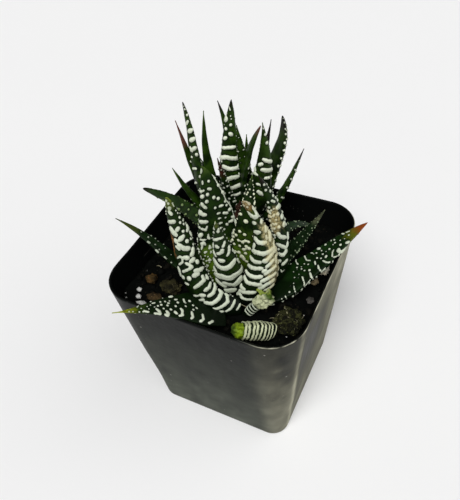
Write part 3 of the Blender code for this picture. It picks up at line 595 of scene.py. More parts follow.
def grainy_material(name, dark, pale, fleck, flecks, coarse, fine, roughness=0.95, depth=0.3, gloss=0.12):
    """Soil, bark, perlite and stone: two colours mixed by grain, with flecks of a third."""
    made, g, shader = new_material(name)
    group = grain(g, g.place(), coarse, fine, flecks)
    tone = g.plus(group["Mask"], g.attribute("tone"))
    colour = g.mix(g.step(tone, 0.38, 0.68), rgba(dark), rgba(pale))
    colour = g.mix(group["Fleck"], colour, rgba(fleck))
    rough = g.between(group["Mask"], roughness, roughness - 0.25)
    finish_material(g, shader, colour, rough, group["Height"], depth * MM, gloss)
    return made


def darker(colour, share):
    return tuple(share * c for c in colour)


def fibre_material(name, share):
    fibre = bpy.context.scene.haworthia_chip.fibre
    return grainy_material(name, darker(fibre, share), fibre, (0.7, 0.68, 0.5), 0.1, 600.0, 2400.0, 0.9, 0.05)


# Meshes


def add_piece(name, points, faces, look, slot, nodes=(), attributes=None):
    """A mesh piece from points in millimetres, riding on the plant's one body. A plain one has tone 0."""
    mesh = bpy.data.meshes.new(name)
    mesh.from_pydata([tuple(p) for p in np.asarray(points, float) * MM], [], faces)
    for key, values in (attributes or {"tone": np.zeros(len(points))}).items():
        held = mesh.attributes.new(key, "FLOAT", "POINT").data
        held.foreach_set("value", np.asarray(values, np.float32).ravel())
    mesh.shade_smooth()
    mesh.validate()
    mesh.materials.append(look)
    piece = bpy.data.objects.new(name, mesh)
    bpy.context.scene.collection.objects.link(piece)
    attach(piece, BODY)
    if nodes:
        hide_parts(*nodes)
    return piece


def waver(x, y, z=0.0):
    return noise.noise(Vector((x, y, z)))


def run_of(points):
    """How far along a line each of its points is."""
    return np.concatenate([[0], np.cumsum(np.linalg.norm(np.diff(points, axis=0), axis=1))])


def unit(vectors):
    return vectors / np.linalg.norm(vectors, axis=1, keepdims=True)


def tube_faces(rings, count, first=0):
    """Quads between neighbouring rings of count points, counter-clockwise seen from outside."""
    faces = []
    for r in range(rings - 1):
        a, b = first + r * count, first + (r + 1) * count
        faces += [(a + i, a + (i + 1) % count, b + (i + 1) % count, b + i) for i in range(count)]
    return faces


def closed_tube_faces(rings, count):
    """A tube's faces and both its ends, whose middle points come right after the rings."""
    last, middle = (rings - 1) * count, rings * count
    faces = tube_faces(rings, count)
    faces += [((i + 1) % count, i, middle) for i in range(count)]
    return faces + [(last + i, last + (i + 1) % count, middle + 1) for i in range(count)]


def smoothstep(value, low, high):
    t = np.clip((np.asarray(value, float) - low) / (high - low), 0, 1)
    return t * t * (3 - 2 * t)


class Leaf:
    """The smooth surface of a leaf, by along and turn as the drawn marks have them."""

    SAMPLES = 400
    THINNEST = 0.16

    def __init__(self, row):
        title, p0, p1, p2, p3, facing, width, thick, taper = row
        points = [np.array(p, float) for p in (p0, p1, p2, p3)]
        t = np.linspace(0, 1, self.SAMPLES)[:, None]
        shares = (1 - t) ** 3, 3 * t * (1 - t) ** 2, 3 * t ** 2 * (1 - t), t ** 3
        midrib = sum(share * point for share, point in zip(shares, points))
        ahead = np.gradient(midrib, axis=0)
        run = run_of(midrib)
        self.title, self.length, self.s = title, run[-1], t[:, 0]
        even = [[np.interp(self.s * run[-1], run, a[:, k]) for k in range(3)] for a in (midrib, ahead)]
        self.centre, ahead = np.array(even[0]).T, np.array(even[1]).T
        self.ahead = unit(ahead)
        facing = math.radians(facing)
        inward = np.array([-math.cos(facing), -math.sin(facing), UPTURN.get(title, 1.0)])
        self.up = unit(inward - (self.ahead @ inward)[:, None] * self.ahead)
        self.side = np.cross(self.ahead, self.up)
        rising = 0.80 + 0.20 * np.sin(np.minimum(self.s / 0.26, 1) * math.pi / 2)
        u = np.maximum(0, (self.s - 0.26) / 0.74)
        share = rising * (1 - u) ** taper * (1 + 0.25 * u)
        share = share * NARROW_FOOT.get(title, 1.0) ** smoothstep(self.s, 0.72, 0.42)
        share = np.maximum(share, STUB_TIP.get(title, 0.0) * np.sqrt(np.clip((1 - self.s) / 0.05, 0, 1)))
        self.half = np.maximum(width / 2 * share, self.THINNEST)
        self.depth = np.maximum(thick * (1 - INNER_BULGE) * share ** 0.8, self.THINNEST)
        self.bulge = np.maximum(thick * INNER_BULGE * share, 0.12)

    def at(self, table, along):
        """What a table of the leaf holds at a place along it."""
        along = np.clip(along, 0, 1)
        if table.ndim == 1:
            return np.interp(along, self.s, table)
        return np.stack([np.interp(along, self.s, table[:, k]) for k in range(3)], -1)

    def point(self, along, turn):
        """Places on the surface, in millimetres."""
        along, turn = np.broadcast_arrays(np.asarray(along, float), np.asarray(turn, float))
        half, depth, bulge = (self.at(a, along) for a in (self.half, self.depth, self.bulge))
        x, cosine = half * np.sin(turn * math.pi / 2), np.cos(turn * math.pi / 2)
        y = np.where(cosine > 0, -depth * np.abs(cosine) ** 0.9, bulge * np.abs(cosine)) + (depth - bulge) / 2
        sideways, upwards = (self.at(a, along) for a in (self.side, self.up))
        return self.at(self.centre, along) + sideways * x[..., None] + upwards * y[..., None]

    def share(self, along):
        """The width at a place as a share of the greatest."""
        return self.at(self.half, along) / self.half.max()

    def spots(self, along, low, high, spacing):
        """Turns between low and high, a spacing apart in millimetres."""
        turns = np.linspace(low, high, 41)
        run = run_of(self.point(along, turns))
        count = int(run[-1] / spacing)
        if count < 1:
            return [(low + high) / 2]
        return np.interp((np.arange(count + 1) + 0.5 * (run[-1] / spacing - count)) * spacing, run, turns)


def drawn_marks(leaf, rows, rng):
    """Dots (along, turn, radius) along the lines drawn on a leaf."""
    dots = []
    for thickness, *places in rows:
        line = [(along / 100, turn / 20) for along, turn in zip(places[::2], places[1::2])]
        radius = 0.56 * (thickness / 10)
        if len(line) == 1:
            dots.append((*line[0], radius))
            continue
        radius = max(radius - 0.03, 0.17)
        run, phase = 0.0, rng.uniform(0, math.tau)
        for (s0, v0), (s1, v1) in zip(line, line[1:]):
            gap = np.linalg.norm(leaf.point(s1, v1) - leaf.point(s0, v0))
            steps = max(2, round(gap / 0.45))
            for k in range(steps + (line[-1] == (s1, v1))):
                t = k / steps
                run += gap / steps
                end = 0.82 if (k == 0 and line[0] == (s0, v0)) or k == steps else 1.0
                bead = end * (0.95 + 0.15 * math.sin(run * 4.6 + phase) + rng.uniform(-0.06, 0.06))
                dots.append((s0 + (s1 - s0) * t, v0 + (v1 - v0) * t, radius * bead))
    return dots


def keel_rows(leaf, rule, rng, free):
    """Rows of dots across the keel, fused into bars low on the leaf and apart toward its tip."""
    dots, ringed = [], rule.get("rings", False)
    loose = 0.2 if ringed else 1.0
    for s in np.arange(rule["first"], rule["last"], rule["pitch"] / leaf.length):
        share, barred = leaf.share(s), s < rule["bars_until"]
        radius = rule["bar"] * (0.62 + 0.38 * share) if barred else rule["dot"] * (0.65 + 0.35 * share)
        edge = 0.93 if share > 0.3 else 0.7
        if ringed:
            radius, edge = rule["bar"] * (0.35 + 1.1 * s) * share ** 0.5, 2.0
        spacing = radius * 1.15 if barred else rule["spread"] * (0.75 + 0.25 * share)
        turns = leaf.spots(s, -edge, edge, spacing)
        breaks = rng.integers(0, len(turns), 2) if barred and len(turns) > 7 and not ringed else ()
        lean, shift = rng.uniform(-0.5, 0.5) * loose, rng.uniform(-0.25, 0.25) * loose
        for k, turn in enumerate(turns):
            if (k in breaks) or (not barred and rng.random() < 0.12):
                continue
            slip = 0.0 if barred else rng.uniform(-0.12, 0.12)
            jitter = rng.uniform(-0.12, 0.12) * (1 if barred else 3)
            rise = rule["sag"] * abs(turn) ** 1.6 + lean * turn + shift + jitter
            if free(turn):
                dots.append((s + rise / leaf.length, turn + slip, radius * rng.uniform(0.85, 1.12)))
    return dots


def inner_rows(leaf, rule, rng, free):
    """Single dots on the inner face, some of them doubled."""
    dots = []
    for s in np.arange(rule["first"] + 0.03, rule["inner_until"], rule["inner_pitch"] / leaf.length):
        share = leaf.share(s)
        radius = rule["inner_dot"] * (0.65 + 0.35 * share)
        for turn in leaf.spots(s, 1.12, 2.88, rule["inner_spread"] * (0.75 + 0.25 * share)):
            if rng.random() < 0.1:
                continue
            turn += rng.uniform(-0.07, 0.07)
            turn -= 4 if turn > 2 else 0
            if free(turn):
                spot = s + rng.uniform(-0.3, 0.3) / leaf.length
                size = radius * rng.uniform(0.6, 1.2)
                dots.append((spot, turn, size))
                if rng.random() < 0.45:
                    dots.append((spot, turn + 0.55 * size / max(leaf.at(leaf.half, s), 0.5), size * 0.9))
    return dots


def freckles(rule, rng):
    dots = []
    for a0, a1, t0, t1, count, radius in rule.get("freckles", ()):
        for _ in range(count):
            dots.append((rng.uniform(a0, a1), rng.uniform(t0, t1), radius * rng.uniform(0.6, 1.3)))
    return dots


def teeth(leaf, rule, rng, free):
    dots = []
    for margin in (-1, 1) if rule["tooth"] else ():
        s = 0.06
        while s < 0.97:
            if free(margin):
                size = rule["tooth"] * (0.6 + 0.4 * leaf.share(s)) * rng.uniform(0.8, 1.15)
                dots.append((s, margin, size))
            s += rule["tooth_pitch"] * rng.uniform(0.75, 1.25) / leaf.length
    return dots


def rule_marks(leaf, rule, rng, span):
    """The marks that a rule adds to the drawn ones, outside the span of turns that those hold."""
    low, high = span

    def free(turn):
        return not (low < turn < high) if low < high else high <= turn <= low

    dots = keel_rows(leaf, rule, rng, free)
    dots += inner_rows(leaf, rule, rng, free)
    dots += freckles(rule, rng)
    return dots + teeth(leaf, rule, rng, free)


def distance_to_marks(leaf, points, along, dots):
    """Distance in millimetres from each point to the nearest dot's edge, negative inside, joined softly."""
    field = np.full(along.shape, 1.5, np.float32)
    if not dots:
        return field
    dots = np.array(dots)
    middles = leaf.point(dots[:, 0], dots[:, 1]).astype(np.float32)
    soft, reach = 0.11, 2.6 / leaf.length
    for r in range(len(along)):
        near = np.abs(dots[:, 0] - along[r, 0]) < reach
        if near.any():
            gap = np.linalg.norm(points[r][:, None, :] - middles[near][None], axis=2) - dots[near, 2]
            least = gap.min(axis=1)
            field[r] = least - soft * np.log(np.exp(-(gap - least[:, None]) / soft).sum(axis=1))
    return np.clip(field, -1.0, 1.5)


def within(value, low, high, least, most, edge):
    """1 between low and high and 0 beyond, with soft edges where these aren't least or most."""
    inside = smoothstep(value, low - edge, low + edge) if low > least else 1.0
    return inside * (1 - smoothstep(value, high - edge, high + edge) if high < most else 1.0)


def patches(along, turn, boxes):
    """Mask of soft, uneven patches, each (along from, along to, turn from, turn to, strength)."""
    mask = np.zeros(along.shape)
    along, turn = (along + 0.014 * np.sin(turn * 8 + along * 37) + 0.010 * np.sin(turn * 19 - along * 71),
                   turn + 0.09 * np.sin(along * 43 + 2) + 0.06 * np.sin(along * 97 + 1))
    for a0, a1, t0, t1, strength in boxes:
        inside = within(along, a0, a1, 0, 1, 0.03) * within(turn, t0, t1, -2, 2, 0.12)
        mask = np.maximum(mask, inside * strength)
    return mask


def leaf_grid(leaf, spacing):
    """Along and turn of the points of a leaf's mesh. The rings crowd a little toward the tip."""
    widest = leaf.half.max()
    outer = max(20, round(3.3 * widest / spacing))
    inner = max(12, round(2.1 * widest / (1.2 * spacing))) // 2
    spans = ((1, -1, outer), (-1, -2, inner), (2, 1, inner))
    turns = np.concatenate([np.linspace(*span, endpoint=False) for span in spans])
    s = np.linspace(0, 1, max(60, round(leaf.length / spacing)))
    s = 0.9 * s + 0.1 * (1 - (1 - s) ** 2)
    return np.meshgrid(s * 0.995, turns, indexing="ij")


def leaf_normals(leaf, points, along):
    """Unit normals out of the leaf, and whether the faces of its mesh have to be turned over."""
    around = np.roll(points, -1, axis=1) - np.roll(points, 1, axis=1)
    normal = np.cross(around, np.gradient(points, axis=0))
    normal /= np.maximum(np.linalg.norm(normal, axis=2, keepdims=True), 1e-9)
    outwards = np.sign(((points - leaf.at(leaf.centre, along)) * normal).sum(axis=2).mean())
    return normal * outwards, outwards < 0


def crumpled(points, fresh, mottle):
    """How far fresh tissue swells at each point."""
    swell = np.zeros(fresh.shape)
    for (r, c), amount in np.ndenumerate(fresh):
        if mottle and amount > 0.05:
            place = Vector(points[r, c])
            uneven = 1.1 * noise.noise(place * 0.8) + 0.6 * noise.noise(place * 1.9)
            swell[r, c] = mottle * amount * uneven
    return swell


def add_leaf(node, row, seed):
    """One leaf, lofted finely, with its marks raised and its patches painted."""
    skin = bpy.context.scene.haworthia_leaf
    rng = np.random.default_rng(seed)
    leaf = Leaf(row)
    particular = PARTICULAR.get(leaf.title, {})
    rule = {**RULE, **particular}
    span, rows = DRAWN.get(leaf.title, ((9, 10), []))
    dots = [(s, turn, radius * rule.get("drawn", 1.0)) for s, turn, radius in drawn_marks(leaf, rows, rng)]
    dots += rule_marks(leaf, rule, rng, span)
    along, turn = leaf_grid(leaf, skin.ring / MM)
    points = leaf.point(along, turn)
    normal, inside_out = leaf_normals(leaf, points, along)
    field = distance_to_marks(leaf, points.astype(np.float32), along, dots)
    rise = skin.rise / MM * np.sin(np.clip(-field / 0.5, 0, 1) * math.pi / 2) ** 0.8
    waves = rng.uniform(0, math.tau, 4)
    wobble = 0.10 * np.sin(along * 19 + turn * 2 + waves[0])
    wobble += 0.07 * np.sin(along * 41 - turn * 3 + waves[1])
    dry, fresh = (patches(along, turn, rule.get(kind, ())) for kind in ("dry", "fresh"))
    share = leaf.share(along)
    rise = rise * np.clip(share * 3, 0.3, 1) + wobble * share + crumpled(points, fresh, rule.get("mottle"))
    points = points + normal * rise[..., None]
    foot = points[0].mean(axis=0) - leaf.ahead[0] * 0.5
    flat = [*points.reshape(-1, 3), foot, (leaf.point(1.0, 0.0) + leaf.point(1.0, 2.0)) / 2]
    faces = closed_tube_faces(*along.shape)
    if inside_out:
        faces = [face[::-1] for face in faces]
    # Each field with its values at the foot and the tip
    fields = {
        "along": (along, 0.0, 1.0), "mark": (field, 1.5, 1.5), "dry": (dry, 0.0, dry[-1, 0]),
        "fresh": (fresh, 0.0, fresh[-1, 0]),
    }
    values = {key: [*held.ravel(), *ends] for key, (held, *ends) in fields.items()}
    nodes = [node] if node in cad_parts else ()
    add_piece(node + "_skin", flat, faces, leaf_material(node + "_skin", particular), "leaf", nodes, values)


def add_dry_leaf(node, row, seed):
    """A dead leaf: a thin, curled, wrinkled strip."""
    rng = np.random.default_rng(seed)
    leaf = Leaf(row)
    rings, count = 90, 28
    turns = np.linspace(0, 4, count, endpoint=False)
    along, turn = np.meshgrid(np.linspace(0, 0.99, rings), turns, indexing="ij")
    turn = np.where(turn > 2, turn - 4, turn)
    curl = 0.55 * np.sin(turn * math.pi / 2) ** 2 * np.sin(along * 9 + 1)
    curl += 0.14 * np.sin(turn * 9 + along * 5)
    crease = 0.25 * np.sin(along * 26 + rng.uniform(0, 6))
    points = leaf.point(along, turn) + leaf.at(leaf.up, along) * curl[..., None]
    points = points + leaf.at(leaf.side, along) * crease[..., None]
    flat = list(points.reshape(-1, 3)) + [points[0].mean(axis=0), points[-1].mean(axis=0)]
    husk = (0.030, 0.014, 0.010), (0.12, 0.055, 0.032), (0.36, 0.24, 0.13)
    look = grainy_material(node + "_husk", *husk, 0.1, 400.0, 2200.0, 0.8, 0.15)
    faces = outward(flat, closed_tube_faces(rings, count))
    add_piece(node + "_husk", flat, faces, look, "dry_leaf", [node])


def outward(points, faces):
    """The faces of one closed tube turned to look outwards."""
    points = np.asarray(points, float)
    volume = 0.0
    for face in faces:
        for k in range(1, len(face) - 1):
            volume += np.dot(points[face[0]], np.cross(points[face[k]], points[face[k + 1]]))
    return faces if volume > 0 else [face[::-1] for face in faces]


def lump(centre, size, turn, seed, rough, subdivisions, flat, facets=0.0):
    """Points and faces of a rough lump, cut flat underneath."""
    shape = bmesh.new()
    bmesh.ops.create_icosphere(shape, subdivisions=subdivisions, radius=0.5)
    angle, offset = math.radians(turn), Vector((seed * 1.7, seed * 0.9, seed * 2.3))
    points = []
    for vert in shape.verts:
        way = vert.co.normalized()
        swell = 1 + rough * noise.noise(way * 1.6 + offset) + 0.45 * rough * noise.noise(way * 4.3 + offset)
        swell += 0.2 * rough * noise.noise(way * 11 + offset)
        if facets:
            swell -= facets * noise.voronoi(way * 1.5 + offset)[0][0]
        x, y, z = (0.5 * swell * share * along for share, along in zip(way, size))
        spun = x * math.cos(angle) - y * math.sin(angle), x * math.sin(angle) + y * math.cos(angle)
        points.append((centre[0] + spun[0], centre[1] + spun[1], centre[2] + max(z, -flat * size[2])))
    faces = [tuple(v.index for v in f.verts) for f in shape.faces]
    shape.free()
    return points, faces


def strand(path, radius):
    """Points and faces of a thin closed tube along a path, thinner at its ends."""
    sides = 5
    path = np.asarray(path, float)
    ahead = unit(np.gradient(path, axis=0))
    side = unit(np.cross(ahead, (0.31, 0.17, 0.93)))
    up = np.cross(ahead, side)
    girth = radius * (0.35 + 0.65 * np.sin(np.linspace(0.05, 0.95, len(path)) * math.pi) ** 0.5)
    angles = np.linspace(0, math.tau, sides, endpoint=False)[:, None]
    round_it = side[:, None] * np.cos(angles) + up[:, None] * np.sin(angles)
    rings = path[:, None] + round_it * girth[:, None, None]
    points = list(rings.reshape(-1, 3)) + [path[0], path[-1]]
    return points, outward(points, closed_tube_faces(len(path), sides))


def joined(shapes):
    """One list of points and faces from several."""
    points, faces, counts = [], [], []
    for some, others in shapes:
        faces += [tuple(i + len(points) for i in f) for f in others]
        points += list(some)
        counts.append(len(some))
    return points, faces, counts


# Pot and soil

# The pot's height, its width at the top and the foot, and the radius of its corners there
POT_HEIGHT, POT_TOP, POT_BASE, TOP_CORNER, BASE_CORNER = 70.0, 70.0, 54.0, 12.3, 6.3
CORNER_STEPS, FACE_STEPS = 14, 22

# How far the panel underneath is pressed up, and the places and radius of the drain holes
PANEL_LIFT, DRAIN_PLACE, DRAIN_RADIUS = 0.34, 14, 1.9
SOIL_LEVEL, SOIL_GAP = 60.0, 0.25

# The tone of plastic with no dust on it
CLEAN = -1.5


def rounded_square(side, corner):
    """Points round a square with rounded corners, with points along the faces too."""
    half, points = side / 2, []
    for quarter in range(4):
        start = 90 * quarter
        middle = math.radians(45 + start)
        cx = (half - corner) * math.copysign(1, math.cos(middle))
        cy = (half - corner) * math.copysign(1, math.sin(middle))
        angles = np.radians(np.linspace(start, start + 90, CORNER_STEPS + 1))
        points += [(cx + corner * math.cos(a), cy + corner * math.sin(a)) for a in angles]
        turned = math.radians(start + 90)
        face = np.array([-math.sin(turned), math.cos(turned)]) * 2 * (half - corner)
        from_here = np.array(points[-1])
        points += [tuple(from_here + face * k / FACE_STEPS) for k in range(1, FACE_STEPS)]
    return np.array(points)


def pot_section(z, inset):
    """Outline of the pot at a height, moved inwards."""
    share = z / POT_HEIGHT
    side = POT_BASE + (POT_TOP - POT_BASE) * share
    corner = BASE_CORNER + (TOP_CORNER - BASE_CORNER) * share
    return rounded_square(side - 2 * inset, max(corner - inset, 0.6))


def bowed(outline, z, bow):
    """The outline pushed in and out a little, as a soft wall is; none of it at the foot."""
    moved = []
    for x, y in outline:
        amount = waver(x / 26, y / 26, z / 30 + 4) + 0.35 * waver(x / 9, y / 9, z / 22)
        inwards = -min(0.0, amount) * 1.3 + max(0.0, amount) * 0.25
        moved.append(Vector((x, y)) * (1 - bow * inwards * min(1.0, z / 12) / max(math.hypot(x, y), 1.0)))
    return [(p.x, p.y) for p in moved]


# Smudges and paler rubbed places on the wall: place, reach, more or less dust
WALL_SPOTS = [
    ((-0.7, -29.6, 23), 2.2, 0.22), ((5.0, -29.8, 25), 1.8, 0.20), ((-7.0, -29.0, 18), 2.6, 0.15),
    ((-13.0, -28.3, 13), 2.4, 0.18), ((2.0, -29.4, 19), 2.0, 0.15), ((-8.0, -29.3, 26), 1.6, -0.12),
    ((-17.0, -31.0, 33), 2.0, -0.10), ((23.0, -29.3, 22), 2.2, 0.25), ((29.8, -31.5, 62), 2.2, -0.25),
    ((31.0, -30.5, 58), 1.8, -0.22), ((29.9, -29.5, 51), 2.4, -0.30), ((28.0, -31.0, 49), 1.8, -0.25),
    ((28.5, -31.3, 55), 1.2, 0.35), ((30.5, -28.5, 44), 1.8, -0.15), ((34.0, 1.0, 62), 1.2, -0.4),
]


def dust_and_highlight_tone(x, y, z):
    """How pale the wall is, from dust and painted light: paler toward the foot, a painted highlight down
    the front corner, and dust with a painted reflection and a narrow painted highlight on the right face.
    """
    foot = 0.68 * (1 - z / POT_HEIGHT) ** 1.3 + 0.06 * smoothstep(-x, 8, 28) - 0.04
    # Painted highlight down the front right corner, strongest at mid height
    corner = 0.17 + 0.12 * smoothstep(-z, -60, -40) - 0.16 * smoothstep(-z, -34, -16)
    corner *= smoothstep(x, 18, 23) * smoothstep(-y, 16, 24)
    # Dust on the right face, with a painted reflection that is paler toward its top and back
    face = 0.9 * smoothstep(z, 48, 68) * smoothstep(y, -26, -8)
    face += 1.05 * smoothstep(y, -8, 22) * smoothstep(z, 10, 50) + 0.35 * smoothstep(-z, -44, -16) - 0.05
    # Painted highlight in a narrow line where the right face turns into the front corner
    ridge = 1.3 * math.exp(-((y + 20.5 + 4.4 * z / POT_HEIGHT) / 1.3) ** 2)
    smear = waver(x / 7, y / 7, z / 9 + 2) + 0.6 * waver(x / 2.6, y / 2.6, z / 3)
    tone = foot + corner + (face + ridge) * smoothstep(x, 24, 30) * smoothstep(y, -30, -24)
    tone *= 0.85 + 0.45 * smear
    for spot, reach, change in WALL_SPOTS:
        tone += 0.6 * change * math.exp(-(math.dist((x, y, z), spot) / reach) ** 2)
    # Painted highlight along the lip at the front right
    if z > POT_HEIGHT - 0.3 and x > 18:
        tone += max(0.0, 0.5 + 1.6 * waver(x * 1.7, y * 1.7)) * 1.6 * smoothstep(-y, -5, 10)
    return tone


def pot_levels(wall):
    """Height and inset of each ring: up the outside and over the lip, then down the inside."""
    outside = [(0.0, 1.6), (0.12, 0.85), (0.5, 0.3), (1.2, 0.0)]
    outside += [(float(z), 0.0) for z in np.linspace(3, POT_HEIGHT - 1.4, 34)]
    outside += [(POT_HEIGHT - 0.7, -0.02)]
    arc = np.linspace(0.15, math.pi - 0.15, 7)
    lip = [(POT_HEIGHT + wall / 2 * (math.sin(a) - 1), wall / 2 * (1 - math.cos(a))) for a in arc]
    inside = lip[3:] + [(POT_HEIGHT - 0.8, wall)]
    inside += [(float(z), wall) for z in np.linspace(POT_HEIGHT - 2.5, 3, 20)]
    return outside + lip[:3], inside + [(1.6, wall + 0.25), (1.0, wall + 1.1)]


def pot_mesh(wall, bow):
    """Points and faces of the pot, and how many points are on its outside."""
    outside, inside = pot_levels(wall)
    rings = []
    for z, inset in outside + inside:
        outline = bowed(pot_section(min(z, POT_HEIGHT), inset), z, bow)
        rings.append([(x, y, z) for x, y in outline])
    count = len(rings[0])
    foot, well = np.array(rings[0])[:, :2], np.array(rings[-1])[:, :2]
    # The floor inside
    rings += [[(x * scale, y * scale, 1.0 - 0.05 * scale) for x, y in well] for scale in (0.85, 0.6, 0.3)]
    points = [p for ring in rings for p in ring] + [(0, 0, 1.0)]
    faces = tube_faces(len(rings), count)
    last = (len(rings) - 1) * count
    faces += [(last + i, last + (i + 1) % count, len(points) - 1) for i in range(count)]
    # The underside: a flat rim round a panel that is pressed up a little
    under = (0.3, PANEL_LIFT), (0.6, PANEL_LIFT), (0.8, PANEL_LIFT), (0.86, 0.0)
    start = len(points)
    points += [(x * scale, y * scale, z) for scale, z in under for x, y in foot] + [(0, 0, PANEL_LIFT)]
    faces += tube_faces(len(under), count, start)
    last = start + (len(under) - 1) * count
    faces += [(last + i, last + (i + 1) % count, (i + 1) % count, i) for i in range(count)]
    faces += [(start + (i + 1) % count, start + i, len(points) - 1) for i in range(count)]
    return points, faces, len(outside) * count


def add_pot():
    pot = bpy.context.scene.haworthia_pot
    points, faces, outer = pot_mesh(pot.wall / MM, pot.bow / MM)
    tones = [dust_and_highlight_tone(*p) if k < outer or p[2] < 0.5 else CLEAN for k, p in enumerate(points)]
    look = pot_material()
    drill_holes(add_piece("pot_shell", points, faces, look, "pot_plastic", ["pot"], {"tone": tones}))


def drill_holes(piece):
    """Four drain holes through the floor."""
    cutter = bmesh.new()
    for sx in (-1, 1):
        for sy in (-1, 1):
            place = Matrix.Translation(Vector((sx * DRAIN_PLACE, sy * DRAIN_PLACE, 0.5)) * MM)
            bmesh.ops.create_cone(cutter, cap_ends=True, segments=40, radius1=DRAIN_RADIUS * MM,
                                  radius2=DRAIN_RADIUS * MM, depth=6 * MM, matrix=place)
    mesh = bpy.data.meshes.new("drills")
    cutter.to_mesh(mesh)
    cutter.free()
    drills = bpy.data.objects.new("drills", mesh)
    bpy.context.scene.collection.objects.link(drills)
    cut = piece.modifiers.new("drain holes", "BOOLEAN")
    cut.object, cut.solver = drills, "EXACT"
    done = bpy.data.meshes.new_from_object(piece.evaluated_get(bpy.context.evaluated_depsgraph_get()))
    piece.modifiers.clear()
    piece.data = done
    bpy.data.objects.remove(drills)
    if len(done.polygons) < 1000:
        raise RuntimeError("the drain holes were not cut")


def pot_material():
    pot = bpy.context.scene.haworthia_pot
    made, g, shader = new_material("pot_plastic")
    place = g.place()
    group = grain(g, place, 95.0, 900.0, 0.003)
    tone = g.attribute("tone")
    streaks = g.put("ShaderNodeMapping", {"Vector": place, "Scale": (1.0, 1.0, 0.18)}).outputs[0]
    streaks = g.noise(streaks, 420.0, 4.0, 0.6)
    # The film mixes real dust with the painted highlights and reflection that the tone carries
    film = g.plus(g.step(g.plus(group["Mask"], g.times(tone, 0.35)), 0.35, 1.0), g.times(tone, 0.4))
    film = g.times(film, g.between(streaks, 0.55, 1.35))
    film = g.plus(g.times(film, pot.dust_amount), g.times(g.math("MAXIMUM", tone, 0.0), 0.55), clamp=True)
    aside = g.put("ShaderNodeSeparateXYZ", {0: place}).outputs[0]
    # The right face and corner take the paler side colour, of dust and painted reflection
    dust = g.mix(g.step(aside, 16 * MM, 27 * MM), rgba(pot.dust), rgba(pot.side_dust_and_highlight))
    slanting = {"Vector": place, "Rotation": (0.5, 0.3, 0.9), "Scale": (1.0, 0.06, 1.0)}
    scratches = g.noise(g.put("ShaderNodeMapping", slanting).outputs[0], 1500.0, 1.0)
    scratches = g.step(scratches, 0.74, 0.78)
    scratches = g.times(scratches, g.step(g.noise(place, 60.0), 0.52, 0.66))
    colour = g.mix(film, rgba(pot.plastic), dust)
    marks = g.math("MAXIMUM", g.times(scratches, 0.5), g.times(group["Fleck"], 0.5))
    colour = g.mix(marks, colour, rgba((0.38, 0.37, 0.33)))
    rough = g.plus(g.between(streaks, 0.30, 0.46), g.times(film, 1.1))
    height = g.plus(g.noise(place, 260.0, 2.0), g.times(group["Fleck"], 0.4))
    finish_material(g, shader, colour, rough, height, 0.09 * MM, 0.06)
    shader.inputs["Specular Tint"].default_value = (0.9, 1.0, 0.9, 1.0)
    return made


def soil_height(x, y):
    """Height of the soil: soft lumps, lower toward the walls, with crumbly grain."""
    soft = waver(x / 7.0, y / 7.0, 3.7) + 0.5 * waver(x / 3.2, y / 3.2, 9.1)
    edge = max(abs(x), abs(y)) / 33.0
    crumb = 0.55 * (0.6 - noise.voronoi(Vector((x, y, 0)) / 1.9)[0][0])
    crumb += 0.3 * waver(x * 1.4, y * 1.4) + 0.18 * waver(x * 3.1, y * 3.1)
    return SOIL_LEVEL + 0.8 * soft - 0.8 * edge ** 4 + crumb


def add_soil():
    soil = bpy.context.scene.haworthia_soil
    inset, rings_across = bpy.context.scene.haworthia_pot.wall / MM + SOIL_GAP, 46
    levels = (1.4, 1.2), (3.5, 0.2), (30, 0.15), (56, 0.1)
    rings = [[(x, y, z) for x, y in pot_section(z, inset + extra)] for z, extra in levels]
    outline = pot_section(SOIL_LEVEL - 0.8, inset)
    for ring in range(rings_across):
        scale = 1 - ring / rings_across
        rings.append([(x * scale, y * scale, soil_height(x * scale, y * scale)) for x, y in outline])
    points = [p for ring in rings for p in ring] + [(0, 0, 1.4), (0, 0, soil_height(0, 0))]
    pale = tuple(2.2 * c for c in soil.earth)
    look = grainy_material("potting_soil", soil.earth, pale, soil.fleck, 0.05, 350.0, 1500.0, 0.95, 0.4, 0.04)
    add_piece("soil_bed", points, closed_tube_faces(len(rings), len(outline)), look, "soil", ["soil"])
    rng = np.random.default_rng(SOIL_SEED)
    shapes, tones = [], []
    while len(shapes) < soil.crumbs:
        x, y = rng.uniform(-32, 32, 2)
        if max(abs(x), abs(y)) > 30.6 or math.hypot(max(0, abs(x) - 21), max(0, abs(y) - 21)) > 10.3:
            continue
        size = soil.crumb / MM * rng.uniform(0.25, 1.0) ** 1.6 * 2
        shape = (size * rng.uniform(0.8, 1.4), size * rng.uniform(0.7, 1.1), size * rng.uniform(0.55, 0.9))
        place, fineness = (x, y, soil_height(x, y) + 0.12 * size), 2 if size > 1.6 else 1
        shapes.append(lump(place, shape, rng.uniform(0, 180), len(shapes) * 0.37, 0.5, fineness, 0.5))
        tones.append(rng.choice([-0.15, 0.0, 0.1, 0.5], p=[0.4, 0.4, 0.15, 0.05]))
    points, faces, counts = joined(shapes)
    pale = (0.008, 0.007, 0.0045)
    look = grainy_material("soil_crumb", soil.earth, pale, soil.fleck, 0.04, 300.0, 1700.0, 0.95, 0.25, 0.06)
    add_piece("soil_crumbs", points, faces, look, "soil", (), {"tone": np.repeat(tones, counts)})


# Stems, chips, moss and litter


STEMS = {"front": (3.0, -9.0), "back": (-7.0, 17.0)}
STEM_FOOT, STEM_RISE, STEM_RADIUS = 50, 16.5, 3.9
STEM_COLOURS = (0.05, 0.045, 0.02), (0.16, 0.17, 0.07), (0.3, 0.28, 0.16)


